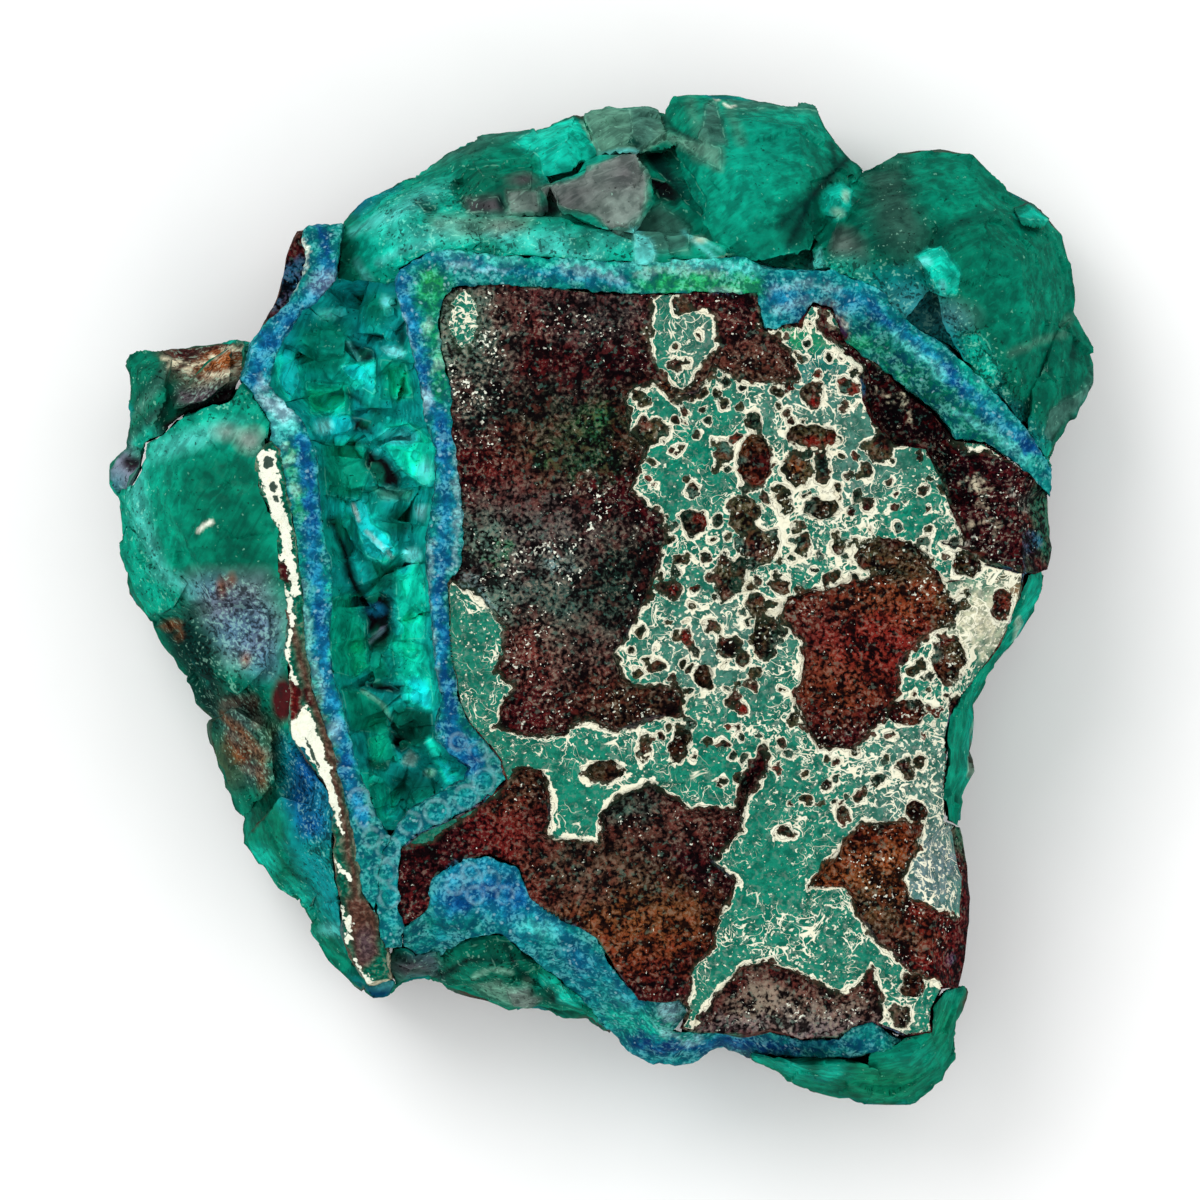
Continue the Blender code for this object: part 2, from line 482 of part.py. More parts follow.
def slab(outline, top, low, spacing, extra=(), rows=3, roughness=WALL_LUMPS):
    """Closed solid with the outline in plan: a relief for its top, rough walls and a flat underside.

    Walls on the specimen's outer edge draw in towards the bottom.
    """
    rim = spaced(outline, spacing)
    inner_rim = inset(rim, 1.0)
    grid = inner_points(outline, spacing, 0.55 * spacing)
    grid = [point for point in grid if clear_of(point, extra, 0.4 * spacing)]
    inside = thin_out(list(extra), 0.6 * LEDGE_WIDTH) + grid
    plan = [Vector(point) for point in rim + inside]
    border = list(range(len(rim)))
    border = border[::-1] if is_clockwise(rim) else border
    places, _, faces, place_sources, _, face_sources = delaunay_2d_cdt(plan, [], [border], 0, 1e-5, True)
    mesh = bmesh.new()
    top_ring = [mesh.verts.new((x, y, top(x, y))) for x, y in rim]
    ring_of_plan = dict(enumerate(top_ring))
    corners = []
    for (x, y), sources in zip(places, place_sources):
        on_rim = [source for source in sources if source < len(rim)]
        corners.append(ring_of_plan[on_rim[0]] if on_rim else mesh.verts.new((x, y, top(x, y))))
    for face, inside_border in zip(faces, face_sources):
        if inside_border:
            mesh.faces.new([corners[index] for index in face])
    steps_in = [(Vector(inner) - Vector(point)).normalized() for point, inner in zip(rim, inner_rim)]
    widths = [width_inwards(point, inward, rim) for point, inward in zip(rim, steps_in)]
    narrow = [min(nearby) for nearby in zip(widths, widths[-1:] + widths[:-1], widths[1:] + widths[:1])]
    bumps = [inward * min(roughness, 0.2 * width) for inward, width in zip(steps_in, narrow)]
    leans = []
    for point, inward, width in zip(rim, steps_in, narrow):
        is_outer = edge_distance(*point, OUTER_EDGE)[0] < 2.0 * MARGIN
        leans.append(inward * (min(UNDERCUT, 0.24 * width) if is_outer else 0.0))
    leans = evened(evened(evened(leans)))
    leans = [lean * min(1.0, 0.24 * width / max(lean.length, 1e-6)) for lean, width in zip(leans, narrow)]
    above = top_ring
    for row in range(1, rows + 1):
        share = row / rows
        ring = []
        for (x, y), lean, bump, lip in zip(rim, leans, bumps, top_ring):
            z = lip.co.z + share * (low - lip.co.z)
            moved = Vector((x, y)) + lean * share ** 1.5 + bump * (0.5 + 0.5 * waves(x, y, z, LUMP_SIZE))
            ring.append(mesh.verts.new((moved.x, moved.y, z)))
        for index, vert in enumerate(ring):
            mesh.faces.new((above[index - 1], above[index], vert, ring[index - 1]))
        above = ring
    mesh.faces.new(above)
    bmesh.ops.recalc_face_normals(mesh, faces=mesh.faces)
    return mesh


def prism(outline, low, high):
    """Straight-sided solid over an outline, used for trimming."""
    mesh = bmesh.new()
    face = mesh.faces.new([mesh.verts.new((x, y, low)) for x, y in outline])
    raised = bmesh.ops.extrude_face_region(mesh, geom=[face])["geom"]
    for item in raised:
        if isinstance(item, bmesh.types.BMVert):
            item.co.z = high
    bmesh.ops.recalc_face_normals(mesh, faces=mesh.faces)
    return mesh


def loft(rings):
    """Closed solid through rings of points that match one to one, from the lowest to the highest."""
    mesh = bmesh.new()
    rows = [[mesh.verts.new(point) for point in ring] for ring in rings]
    for lower, upper in zip(rows, rows[1:]):
        for index in range(len(lower)):
            mesh.faces.new((lower[index - 1], lower[index], upper[index], upper[index - 1]))
    mesh.faces.new(rows[0])
    mesh.faces.new(rows[-1])
    bmesh.ops.recalc_face_normals(mesh, faces=mesh.faces)
    return mesh


def hull(points):
    """Convex crystal through its corner points."""
    mesh = bmesh.new()
    verts = [mesh.verts.new(point) for point in points]
    result = bmesh.ops.convex_hull(mesh, input=verts)
    spare = set(result["geom_interior"] + result["geom_unused"])
    bmesh.ops.delete(mesh, geom=[v for v in spare if isinstance(v, bmesh.types.BMVert)], context="VERTS")
    bmesh.ops.dissolve_limit(mesh, angle_limit=math.radians(2), verts=mesh.verts, edges=mesh.edges)
    bmesh.ops.recalc_face_normals(mesh, faces=mesh.faces)
    return mesh


def rooted(corners):
    """Crystal through its corner points, with its root: the same corners drawn together lower down."""
    middle_x = sum(x for x, _, _ in corners) / len(corners)
    middle_y = sum(y for _, y, _ in corners) / len(corners)
    root = [(x + 0.2 * (middle_x - x), y + 0.2 * (middle_y - y), ROOT_HEIGHT) for x, y, _ in corners]
    return hull(corners + root)


def stub(x, y, z, width, length, lean, turn):
    """Short six-sided dioptase crystal with a three-faced tip, leaning from upright towards the turn."""
    shaft, tip = [], []
    for side in range(6):
        angle = math.radians(60 * side)
        x_out, y_out = 0.5 * width * math.cos(angle), 0.5 * width * math.sin(angle)
        shoulder = 0.4 * length if side % 2 else 0.7 * length
        shaft.append(Vector((x_out, y_out, -0.6 * length)))
        tip.append(Vector((x_out, y_out, shoulder)))
    tip.append(Vector((0.0, 0.0, length)))
    lean, turn = math.radians(lean), math.radians(turn)
    axis = Vector((math.sin(lean) * math.cos(turn), math.sin(lean) * math.sin(turn), math.cos(lean)))
    spin = axis.to_track_quat("Z", "Y")
    return hull([tuple(spin @ point + Vector((x, y, z))) for point in shaft + tip])


def add(name, mesh):
    """Object of the name from mesh data in millimetres."""
    bmesh.ops.scale(mesh, vec=(MM, MM, MM), verts=mesh.verts)
    data = bpy.data.meshes.new(name)
    mesh.to_mesh(data)
    mesh.free()
    body = bpy.data.objects.new(name, data)
    bpy.context.scene.collection.objects.link(body)
    return body


def shape(body, operation, mesh, solver="EXACT"):
    """Joins a mesh to the body, or cuts or trims the body with it."""
    tool = add("tool", mesh)
    step = body.modifiers.new(operation, "BOOLEAN")
    step.operation = operation
    step.object = tool
    step.solver = solver
    bpy.context.view_layer.update()
    graph = bpy.context.evaluated_depsgraph_get()
    before = body.data
    shaped = bpy.data.meshes.new_from_object(body.evaluated_get(graph))
    body.modifiers.clear()
    body.data = shaped
    shaped.name = body.name
    bpy.data.meshes.remove(before)
    bpy.data.meshes.remove(tool.data)


def islands(mesh):
    """The mesh's separate shells, as sets of vertices."""
    left = set(mesh.verts)
    while left:
        shell, edge = set(), {left.pop()}
        while edge:
            shell |= edge
            edge = {other for vert in edge for link in vert.link_edges for other in link.verts} - shell
        left -= shell
        yield shell


def span(shell):
    heights = [vert.co.z for vert in shell]
    return max(heights) - min(heights)


def weld(body, flatten=0.0):
    """Closes the hairline edges that a Boolean can leave, and keeps only the outer shell.

    Faces that lie within the flatten angle of each other, in degrees, become one.
    """
    mesh = bmesh.new()
    mesh.from_mesh(body.data)
    bmesh.ops.remove_doubles(mesh, verts=mesh.verts, dist=0.0005 * MM)
    shells = sorted(islands(mesh), key=span)
    bmesh.ops.delete(mesh, geom=[vert for shell in shells[:-1] for vert in shell], context="VERTS")
    if flatten:
        limit = math.radians(flatten)
        bmesh.ops.dissolve_limit(mesh, angle_limit=limit, verts=mesh.verts, edges=mesh.edges)
    bmesh.ops.delete(mesh, geom=[edge for edge in mesh.edges if edge.is_wire], context="EDGES")
    bmesh.ops.triangulate(mesh, faces=[face for face in mesh.faces if len(face.verts) > 4])
    mesh.to_mesh(body.data)
    mesh.free()


def finish(body, colour, roughness, smooth_angle=30):
    """Gives the body its own material and shading, and hangs it on the specimen's empty."""
    coat = bpy.data.materials.new(body.name)
    coat.use_nodes = True
    shader = coat.node_tree.nodes["Principled BSDF"]
    shader.inputs["Base Color"].default_value = (*colour, 1.0)
    shader.inputs["Roughness"].default_value = roughness
    shader.inputs["Metallic"].default_value = 0.0
    body.data.materials.clear()
    body.data.materials.append(coat)
    body.data.shade_smooth()
    body.data.set_sharp_from_angle(angle=math.radians(smooth_angle))
    body.parent = bpy.data.objects["dioptase_specimen"]


def base_rings(grow):
    """Rings of the rock under everything: a flat foot, a rough sloping side and a flat top."""
    edge = spaced(BASE_EDGE, 3.0)
    foot_level = -grow if grow else 0.0
    levels = ((FOOT_SHARE, foot_level), (WAIST_SHARE, WAIST_HEIGHT), (WAIST_SHARE, BASE_HEIGHT + grow))
    rings = []
    for share, height in levels:
        ring = [(x * (share + SIDE_LUMPS * waves(x, y, height, 6.0)), y * share) for x, y in edge]
        rings.append([(x, y, height) for x, y in inset(ring, -grow)])
    return rings


def clear_base(body):
    shape(body, "DIFFERENCE", loft(base_rings(GAP)))


def make_host_rock():
    """Raised fragment with the flat face, on the rock that carries everything else."""
    body = add("host_rock", loft(base_rings(0.0)))
    outline = inset(FACE, MARGIN)
    ledges = ledge_points(outline, 1.9)
    fragment = slab(outline, face_top, 0.5 * BASE_HEIGHT, 2.9, ledges)
    shape(body, "UNION", fragment)
    weld(body)
    finish(body, (0.12, 0.06, 0.045), 0.75)


def make_skirted(name, outline, top, spacing, skirt, colour, roughness, rows=3, lumps=WALL_LUMPS):
    """Mass that stands on the base and wraps down round its edge as far as the skirt's height."""
    plan = inset(outline, MARGIN)
    body = add(name, slab(plan, top, skirt, spacing, rows=rows, roughness=lumps))
    if skirt < BASE_HEIGHT:
        clear_base(body)
    weld(body)
    finish(body, colour, roughness)


def make_crystal_group(name, outline, bed, spacing, skirt, crystals, colour, rows=2):
    """Intergrown crystals: a lumpy bed with every crystal joined to it, trimmed to the group's outline."""
    plan = inset(outline, 1.5 * MARGIN)
    body = add(name, slab(plan, bed, skirt, spacing, rows=rows, roughness=WALL_LUMPS))
    for crystal in crystals:
        shape(body, "UNION", crystal, solver="MANIFOLD")
    trim = prism(inset(outline, MARGIN), skirt - 1.0, 2 * FACE_HEIGHT)
    shape(body, "INTERSECT", trim, solver="MANIFOLD")
    if skirt < BASE_HEIGHT:
        clear_base(body)
    weld(body, flatten=4.0)
    finish(body, colour, 0.3, smooth_angle=12)


UPPER_CRYSTALS = [
    # Left shoulder and the blocks along the top edge.
    [(-15.3, 22.9, 13.0), (-14.0, 24.3, 12.0), (-11.2, 25.6, 12.0), (-8.9, 26.1, 14.0),
     (-7.5, 23.7, 18.5), (-7.2, 21.5, 21.0), (-9.8, 21.0, 21.0), (-12.0, 20.3, 20.5),
     (-12.5, 19.0, 19.5), (-15.8, 19.1, 17.0), (-15.5, 21.3, 16.0), (-12.0, 23.1, 19.5),
     (-10.2, 22.5, 20.8)],
    [(-11.2, 25.6, 11.5), (-9.5, 26.9, 11.0), (-7.1, 28.1, 11.0), (-4.1, 28.5, 11.5),
     (-3.3, 27.3, 14.5), (-5.7, 26.1, 16.0), (-8.7, 25.1, 16.5), (-7.8, 26.5, 15.5)],
    [(-8.9, 25.3, 15.0), (-7.7, 26.5, 15.5), (-4.2, 26.6, 16.0), (-3.0, 25.1, 18.0),
     (-3.1, 23.3, 19.0), (-6.0, 23.0, 19.5), (-8.3, 23.2, 19.0), (-6.9, 25.3, 19.5),
     (-4.8, 25.2, 19.8)],
    [(-5.1, 27.6, 12.0), (-2.4, 29.1, 11.0), (-1.6, 29.5, 10.8), (-1.1, 29.3, 11.0),
     (-0.1, 27.0, 15.5), (-1.5, 25.9, 17.5), (-3.3, 25.4, 17.5), (-4.8, 26.1, 16.0),
     (-2.1, 27.6, 16.8)],
    [(-1.2, 29.3, 11.0), (0.4, 29.7, 10.5), (2.6, 29.9, 10.5), (3.8, 29.4, 11.0), (5.5, 27.8, 14.5),
     (4.1, 27.2, 16.0), (2.4, 26.8, 17.0), (0.0, 26.9, 16.0), (1.8, 27.9, 16.8)],
    # Striated block in the middle.
    [(-3.1, 25.0, 18.0), (0.0, 26.5, 17.0), (2.2, 26.8, 17.5), (2.9, 25.4, 19.0), (3.1, 23.9, 20.0),
     (2.0, 22.0, 21.0), (0.0, 22.3, 21.0), (-2.4, 23.3, 20.0), (0.6, 24.6, 20.6)],
    # Large crystal at the top.
    [(3.8, 29.5, 11.0), (4.3, 30.5, 10.5), (5.6, 30.6, 10.3), (9.2, 30.4, 10.3), (13.0, 29.8, 11.0),
     (14.8, 27.2, 12.5), (15.7, 25.8, 13.5), (14.3, 23.7, 17.0), (12.6, 21.0, 20.0), (9.6, 20.6, 21.0),
     (6.9, 21.3, 20.5), (5.9, 23.7, 19.0), (4.6, 27.0, 15.5), (6.3, 28.2, 17.0), (8.4, 25.2, 20.3),
     (9.6, 23.1, 21.4), (12.0, 24.6, 19.8), (12.0, 28.2, 16.3), (9.0, 28.8, 16.3)],
    # Low blocks against the crust.
    [(-9.6, 21.1, 20.5), (-7.2, 23.0, 19.5), (-2.4, 22.9, 20.0), (0.0, 22.2, 20.5), (0.0, 20.3, 21.4),
     (-3.3, 20.4, 21.4), (-7.2, 20.6, 21.2), (-2.4, 21.6, 21.7)],
    [(-0.6, 22.3, 20.4), (2.4, 22.0, 20.8), (6.0, 21.8, 20.8), (9.6, 20.6, 21.0), (8.4, 20.5, 21.2),
     (3.0, 20.2, 21.4), (0.0, 20.3, 21.4), (2.4, 21.0, 21.9)],
    # Valley between the two large crystals, with a small bright one in it.
    [(12.7, 21.0, 19.5), (13.9, 23.7, 16.5), (15.0, 25.2, 14.0), (15.8, 25.7, 13.0), (16.2, 24.6, 15.0),
     (15.0, 22.5, 18.0), (13.9, 20.3, 20.5), (12.9, 20.0, 21.0), (14.4, 23.1, 19.0)],
    [(13.3, 23.1, 18.0), (13.4, 24.6, 17.5), (14.5, 25.2, 17.0), (15.3, 24.6, 17.5), (15.1, 23.5, 18.3),
     (14.2, 23.0, 18.8), (14.3, 24.0, 19.6)],
    # Large crystal on the right, with its lower left part and its small crystals.
    [(20.5, 22.5, 18.0), (21.6, 25.2, 14.0), (22.3, 27.0, 11.5), (24.7, 24.8, 11.0), (27.2, 23.0, 10.8),
     (28.0, 22.0, 10.6), (28.6, 18.9, 10.4), (28.7, 17.4, 10.4), (28.2, 13.8, 12.0), (26.7, 10.8, 16.0),
     (24.6, 10.8, 20.0), (22.5, 13.8, 20.5), (20.7, 16.8, 20.5), (19.8, 19.8, 20.0), (23.1, 22.5, 18.5),
     (25.2, 20.4, 18.4), (25.8, 16.2, 18.4), (24.0, 13.2, 20.3), (21.6, 18.6, 21.2), (22.5, 21.0, 20.5)],
    [(15.8, 25.9, 12.0), (16.6, 26.3, 11.5), (17.9, 26.9, 11.0), (20.5, 27.2, 11.0), (22.5, 26.9, 11.5),
     (23.1, 24.3, 15.0), (20.7, 21.3, 18.5), (19.7, 18.6, 20.5), (18.2, 16.9, 21.0), (16.8, 18.7, 21.3),
     (13.8, 19.8, 21.0), (14.3, 22.5, 18.5), (15.1, 24.3, 15.5), (18.0, 24.0, 17.8), (19.8, 24.6, 16.8),
     (17.4, 21.3, 20.6), (19.2, 21.9, 19.4)],
    [(28.7, 17.4, 10.2), (29.7, 15.2, 10.0), (29.9, 14.2, 10.0), (29.6, 12.9, 10.3), (28.0, 10.3, 11.5),
     (27.4, 8.8, 13.0), (27.1, 7.8, 16.0), (25.8, 9.6, 19.5), (26.1, 12.6, 18.0), (27.6, 16.2, 14.0),
     (27.6, 13.2, 16.0)],
    [(19.0, 20.6, 20.0), (20.5, 21.2, 19.6), (21.7, 19.6, 20.4), (20.9, 18.1, 20.9), (19.9, 18.6, 21.0),
     (20.4, 19.7, 21.8)],
    [(24.9, 23.6, 13.6), (26.0, 23.8, 12.6), (27.1, 22.9, 12.0), (26.6, 22.4, 14.0), (25.4, 22.6, 15.6)],
]
LEFT_CRYSTALS = [
    # Smooth dark plateau.
    [(-27.3, 8.8, 17.0), (-25.0, 11.0, 18.4), (-22.8, 11.4, 19.4), (-20.9, 10.2, 20.4), (-20.7, 6.0, 21.6),
     (-19.8, 2.6, 21.6), (-21.2, 0.6, 21.2), (-24.0, 0.9, 20.4), (-27.2, 2.6, 18.0), (-28.4, 5.8, 15.6),
     (-25.2, 8.0, 21.4), (-23.4, 3.4, 21.9)],
    # Blocks along the left edge.
    [(-28.9, 3.0, 12.4), (-28.3, 0.2, 12.0), (-27.2, -1.2, 12.0), (-25.6, -0.4, 16.4), (-24.8, 1.0, 18.6),
     (-26.4, 2.6, 17.6), (-28.4, 4.4, 14.0)],
    [(-25.4, -1.6, 18.4), (-22.6, -0.4, 20.6), (-20.0, -0.6, 21.4), (-19.8, -4.0, 21.0), (-21.8, -5.6, 19.4),
     (-24.0, -4.4, 17.6)],
    [(-23.6, -7.4, 12.0), (-22.6, -10.8, 11.6), (-21.6, -13.0, 11.4), (-19.6, -11.0, 17.6),
     (-19.8, -7.8, 19.4), (-22.0, -6.6, 16.6)],
    [(-21.4, -14.6, 11.4), (-19.4, -17.4, 11.0), (-17.4, -18.6, 12.0), (-16.4, -16.0, 18.0),
     (-16.8, -12.6, 20.4), (-19.2, -11.8, 18.4), (-18.6, -14.6, 17.4)],
    [(-17.4, -20.0, 11.0), (-15.6, -22.6, 10.6), (-14.4, -23.6, 11.0), (-15.2, -20.4, 18.0),
     (-15.9, -18.0, 19.6), (-16.8, -18.4, 16.4)],
]
KNOB_CRYSTALS = [
    [(-28.6, 14.6, 12.0), (-27.4, 15.1, 13.0), (-25.8, 14.6, 15.6), (-26.2, 12.0, 18.6), (-26.9, 10.6, 18.4),
     (-28.1, 11.4, 15.0), (-28.3, 13.2, 13.4), (-26.9, 13.2, 17.8)],
    [(-25.6, 11.6, 17.6), (-23.8, 12.3, 18.8), (-22.4, 13.2, 19.2), (-22.2, 15.2, 16.0), (-23.4, 14.4, 16.0),
     (-24.6, 13.2, 16.4)],
]
BOTTOM_CRYSTALS = [
    [(-10.2, -21.0, 16.0), (-7.8, -20.3, 18.0), (-5.7, -20.1, 18.5), (-4.2, -21.9, 18.0),
     (-3.3, -24.5, 12.0), (-5.5, -24.8, 11.0), (-7.9, -24.0, 10.5), (-9.3, -23.3, 10.5),
     (-10.2, -22.5, 12.0), (-6.6, -21.9, 18.6)],
    [(-12.0, -20.7, 17.0), (-9.6, -21.3, 18.0), (-9.6, -23.1, 11.0), (-11.3, -23.0, 10.5),
     (-12.0, -23.3, 10.5), (-12.7, -21.6, 15.0), (-11.1, -21.9, 17.0)],
    [(-4.2, -21.9, 18.0), (-2.3, -23.1, 18.0), (0.0, -25.4, 15.0), (0.6, -26.1, 12.0),
     (-0.8, -25.4, 11.0), (-2.6, -25.0, 11.0), (-3.6, -24.5, 11.0), (-1.8, -24.0, 17.8)],
    [(-5.5, -24.7, 11.0), (-3.0, -24.9, 11.0), (-3.5, -23.3, 15.5), (-5.0, -22.8, 17.0),
     (-6.0, -23.6, 14.0)],
]
CORNER_CRYSTALS = [
    [(8.6, -27.6, 14.0), (10.6, -28.4, 11.0), (12.9, -29.8, 10.0), (15.9, -30.5, 10.0),
     (16.8, -28.2, 18.5), (15.6, -27.8, 20.0), (12.0, -27.9, 19.0), (13.2, -28.5, 17.5)],
    [(15.9, -30.5, 10.0), (17.8, -30.6, 10.0), (19.0, -30.3, 10.0), (20.7, -29.0, 10.5),
     (21.2, -27.6, 11.0), (21.1, -26.3, 12.0), (21.5, -25.3, 13.0), (22.2, -23.3, 16.0),
     (20.7, -23.5, 20.5), (20.1, -24.6, 20.8), (20.0, -26.0, 20.6), (18.2, -27.0, 20.0),
     (16.2, -27.7, 19.5), (15.6, -28.8, 15.0), (18.6, -27.6, 19.0), (19.5, -25.8, 20.2)],
]
# Each crystal of the vug: x, y, z of its middle, width, length, lean from upright and the lean's direction.
VUG_CRYSTALS = [
    (-13.6, 13.6, 13.5, 3.4, 3.6, 38, 250), (-16.8, 13.8, 13.0, 2.8, 4.2, 30, 20),
    (-12.4, 15.2, 14.5, 2.6, 3.4, 45, 200), (-15.2, 16.6, 13.5, 3.2, 3.6, 25, 320),
    (-13.0, 17.6, 15.5, 2.6, 3.0, 35, 240), (-17.2, 15.8, 14.5, 2.4, 3.0, 45, 330),
    (-12.2, 11.2, 12.5, 2.8, 3.6, 50, 190), (-15.8, 10.8, 11.5, 3.0, 3.6, 35, 10),
    (-13.4, 9.0, 10.5, 2.6, 3.0, 20, 100), (-11.4, 8.2, 13.5, 2.8, 3.4, 45, 180),
    (-15.6, 7.4, 12.5, 2.6, 3.4, 40, 350), (-12.6, 6.4, 12.5, 2.6, 3.2, 40, 230),
    (-13.8, 4.6, 12.8, 3.0, 4.0, 30, 300), (-13.2, 2.8, 13.2, 3.0, 3.6, 35, 60),
    (-11.4, 3.4, 13.0, 2.4, 3.2, 45, 170), (-15.2, 1.4, 12.0, 2.4, 3.8, 30, 0),
    (-11.6, 0.4, 13.5, 3.0, 3.6, 40, 200), (-14.9, -1.8, 12.5, 2.6, 5.0, 30, 10),
    (-11.5, -2.2, 13.0, 2.8, 3.4, 45, 170), (-14.2, -3.8, 12.5, 2.8, 3.4, 40, 30),
    (-11.4, -4.4, 13.5, 3.0, 3.8, 40, 160), (-12.8, -6.0, 12.0, 2.8, 3.0, 30, 280),
    (-10.9, -6.4, 14.0, 2.2, 3.2, 40, 190), (-14.2, -6.4, 13.5, 2.4, 3.4, 45, 20),
    (-11.4, -8.2, 11.5, 2.8, 3.0, 20, 90), (-13.8, -9.0, 12.0, 2.6, 3.2, 35, 30),
    (-9.8, -9.9, 14.0, 1.8, 3.4, 50, 150), (-12.6, -10.6, 13.0, 2.8, 3.4, 35, 50),
    (-11.0, -10.8, 13.5, 2.4, 2.8, 30, 110),
]


def make_crystals():
    """The vug's lining and the groups of larger crystals round the specimen."""
    lining = [stub(*place) for place in VUG_CRYSTALS]
    inner_low = BASE_HEIGHT + GAP
    teal = (0.03, 0.36, 0.28)
    make_crystal_group("vug_crystals", VUG, bed_top(11.0, 0.0), 4.5, inner_low, lining, teal, rows=1)
    green = (0.02, 0.3, 0.22)
    groups = (
        ("top_crystals", UPPER, bed_top(17.8, 8.0), 3.4, 2.8, UPPER_CRYSTALS),
        ("dioptase_left_block", LEFT_BLOCK, block_top, 2.8, 2.4, LEFT_CRYSTALS),
        ("left_knob", KNOB, knob_top, 1.8, 3.6, KNOB_CRYSTALS),
        ("bottom_crystals", BOTTOM, bed_top(14.5, 5.0), 2.6, 3.4, BOTTOM_CRYSTALS),
        ("corner_crystals", CORNER, bed_top(16.5, 7.0), 2.6, 2.6, CORNER_CRYSTALS),
    )
    for name, outline, bed, spacing, skirt, corner_sets in groups:
        crystals = [rooted(corners) for corners in corner_sets]
        make_crystal_group(name, outline, bed, spacing, skirt, crystals, green)


def make_crusts():
    """Blue crusts on the vug's walls and below the face, and the white seam beside them."""
    blue = (0.06, 0.24, 0.48)
    crusts = (
        ("shattuckite_crust_host", HOST_CRUST, 3.2),
        ("shattuckite_crust_left", LEFT_CRUST, BASE_HEIGHT + GAP),
    )
    for name, outline, skirt in crusts:
        top = crust_top(inset(outline, MARGIN))
        make_skirted(name, outline, top, 1.75, skirt, blue, 0.6, rows=2, lumps=0.25)
    make_skirted("shattuckite_patch", PATCH, patch_top, 1.5, 3.0, blue, 0.6)
    make_skirted("flank_crystals", FLANK, flank_top, 1.3, 2.8, (0.03, 0.33, 0.24), 0.35, rows=4)
    make_skirted("white_seam", SEAM, seam_top, 1.6, 3.4, (0.74, 0.75, 0.66), 0.7, rows=2, lumps=0.2)


def main():
    for leftover in list(bpy.data.objects):
        bpy.data.objects.remove(leftover)
    carrier = bpy.data.objects.new("dioptase_specimen", None)
    bpy.context.scene.collection.objects.link(carrier)
    make_host_rock()
    make_crusts()
    make_crystals()


main()
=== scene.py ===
"""Looks of the dioptase specimen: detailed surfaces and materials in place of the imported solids.

The specimen lies face up. Lengths are in millimetres until a mesh is made. A place on the specimen seen from
above is given in survey units, counted to the right and down from the upper left corner of the survey square.
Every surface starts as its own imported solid, so it keeps that solid's place and size.
"""

import itertools
import math

import bpy
import numpy as np
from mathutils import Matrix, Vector
from mathutils.bvhtree import BVHTree


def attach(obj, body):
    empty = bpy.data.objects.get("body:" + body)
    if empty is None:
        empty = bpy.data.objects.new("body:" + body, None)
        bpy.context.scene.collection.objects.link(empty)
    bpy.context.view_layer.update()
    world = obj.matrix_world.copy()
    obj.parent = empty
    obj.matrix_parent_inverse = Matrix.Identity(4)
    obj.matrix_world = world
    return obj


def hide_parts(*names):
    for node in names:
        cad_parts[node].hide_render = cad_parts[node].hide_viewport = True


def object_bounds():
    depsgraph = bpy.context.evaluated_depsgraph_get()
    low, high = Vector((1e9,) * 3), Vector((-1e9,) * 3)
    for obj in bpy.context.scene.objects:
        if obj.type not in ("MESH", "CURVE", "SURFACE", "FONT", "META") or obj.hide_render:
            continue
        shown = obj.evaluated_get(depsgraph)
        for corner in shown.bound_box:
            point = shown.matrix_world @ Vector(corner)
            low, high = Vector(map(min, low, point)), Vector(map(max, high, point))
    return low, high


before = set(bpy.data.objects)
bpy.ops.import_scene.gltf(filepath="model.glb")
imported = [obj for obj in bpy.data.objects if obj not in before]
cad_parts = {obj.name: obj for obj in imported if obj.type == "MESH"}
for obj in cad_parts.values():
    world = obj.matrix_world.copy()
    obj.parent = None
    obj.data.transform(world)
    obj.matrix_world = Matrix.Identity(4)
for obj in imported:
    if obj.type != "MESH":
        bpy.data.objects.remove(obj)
cad_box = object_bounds()

MM = 0.001
UNIT = 0.06
SURVEY_MIDDLE = 600
# A distance in millimetres past any that matters.
FAR = 99.0
# The same for the edges of small cells and facets.
NO_EDGE = 9.0

# Colours of the minerals, as sRGB hex.
COLOURS = {
    "turquoise": "0aa58c", "bright": "12cdb2", "cyan": "66dcd6", "green": "048267", "emerald": "03664f",
    "deep": "044236", "dark": "041f1e", "black": "060305", "sage": "5f917d", "grey_green": "3f7063",
    "taupe": "74837c", "mauve": "54464f", "blue": "11749b", "navy": "033a7a", "pale_blue": "a6d6de",
    "white": "e8ecda", "cream": "e0d8b8", "maroon": "421417", "plum": "1d0710", "brown": "5b3a30",
    "olive": "45432a", "red": "7a1410", "rust": "8a4a20", "leaf": "128a52", "lime": "2aa04c",
    "lace_green": "1c7660", "lace_grey": "55786f", "mint": "9ad6bc", "lilac": "7d7f95", "teal": "08736f",
    "sea": "087f88", "dark_blue": "04244c", "grey": "8a8e86", "beige": "8f8574",
}


# ---- Random patterns ----

PRIMES = (0x8DA6B343, 0xD8163841, 0xCB1AB31F)
SEED_STEP = 0x9E3779B1
SEED_START = 0x7F4A7C15
MIXERS = (0x85EBCA6B, 0xC2B2AE35)
WHOLE_WORD = 0xFFFFFFFF
# Each finer layer of rough noise is this much smaller and this much weaker.
LAYERS = 3
FINER = 0.47
WEAKER = 0.55
LAYER_SUM = 1.2
# How far a cell's middle strays from the middle of its lattice box.
JITTER = 0.85


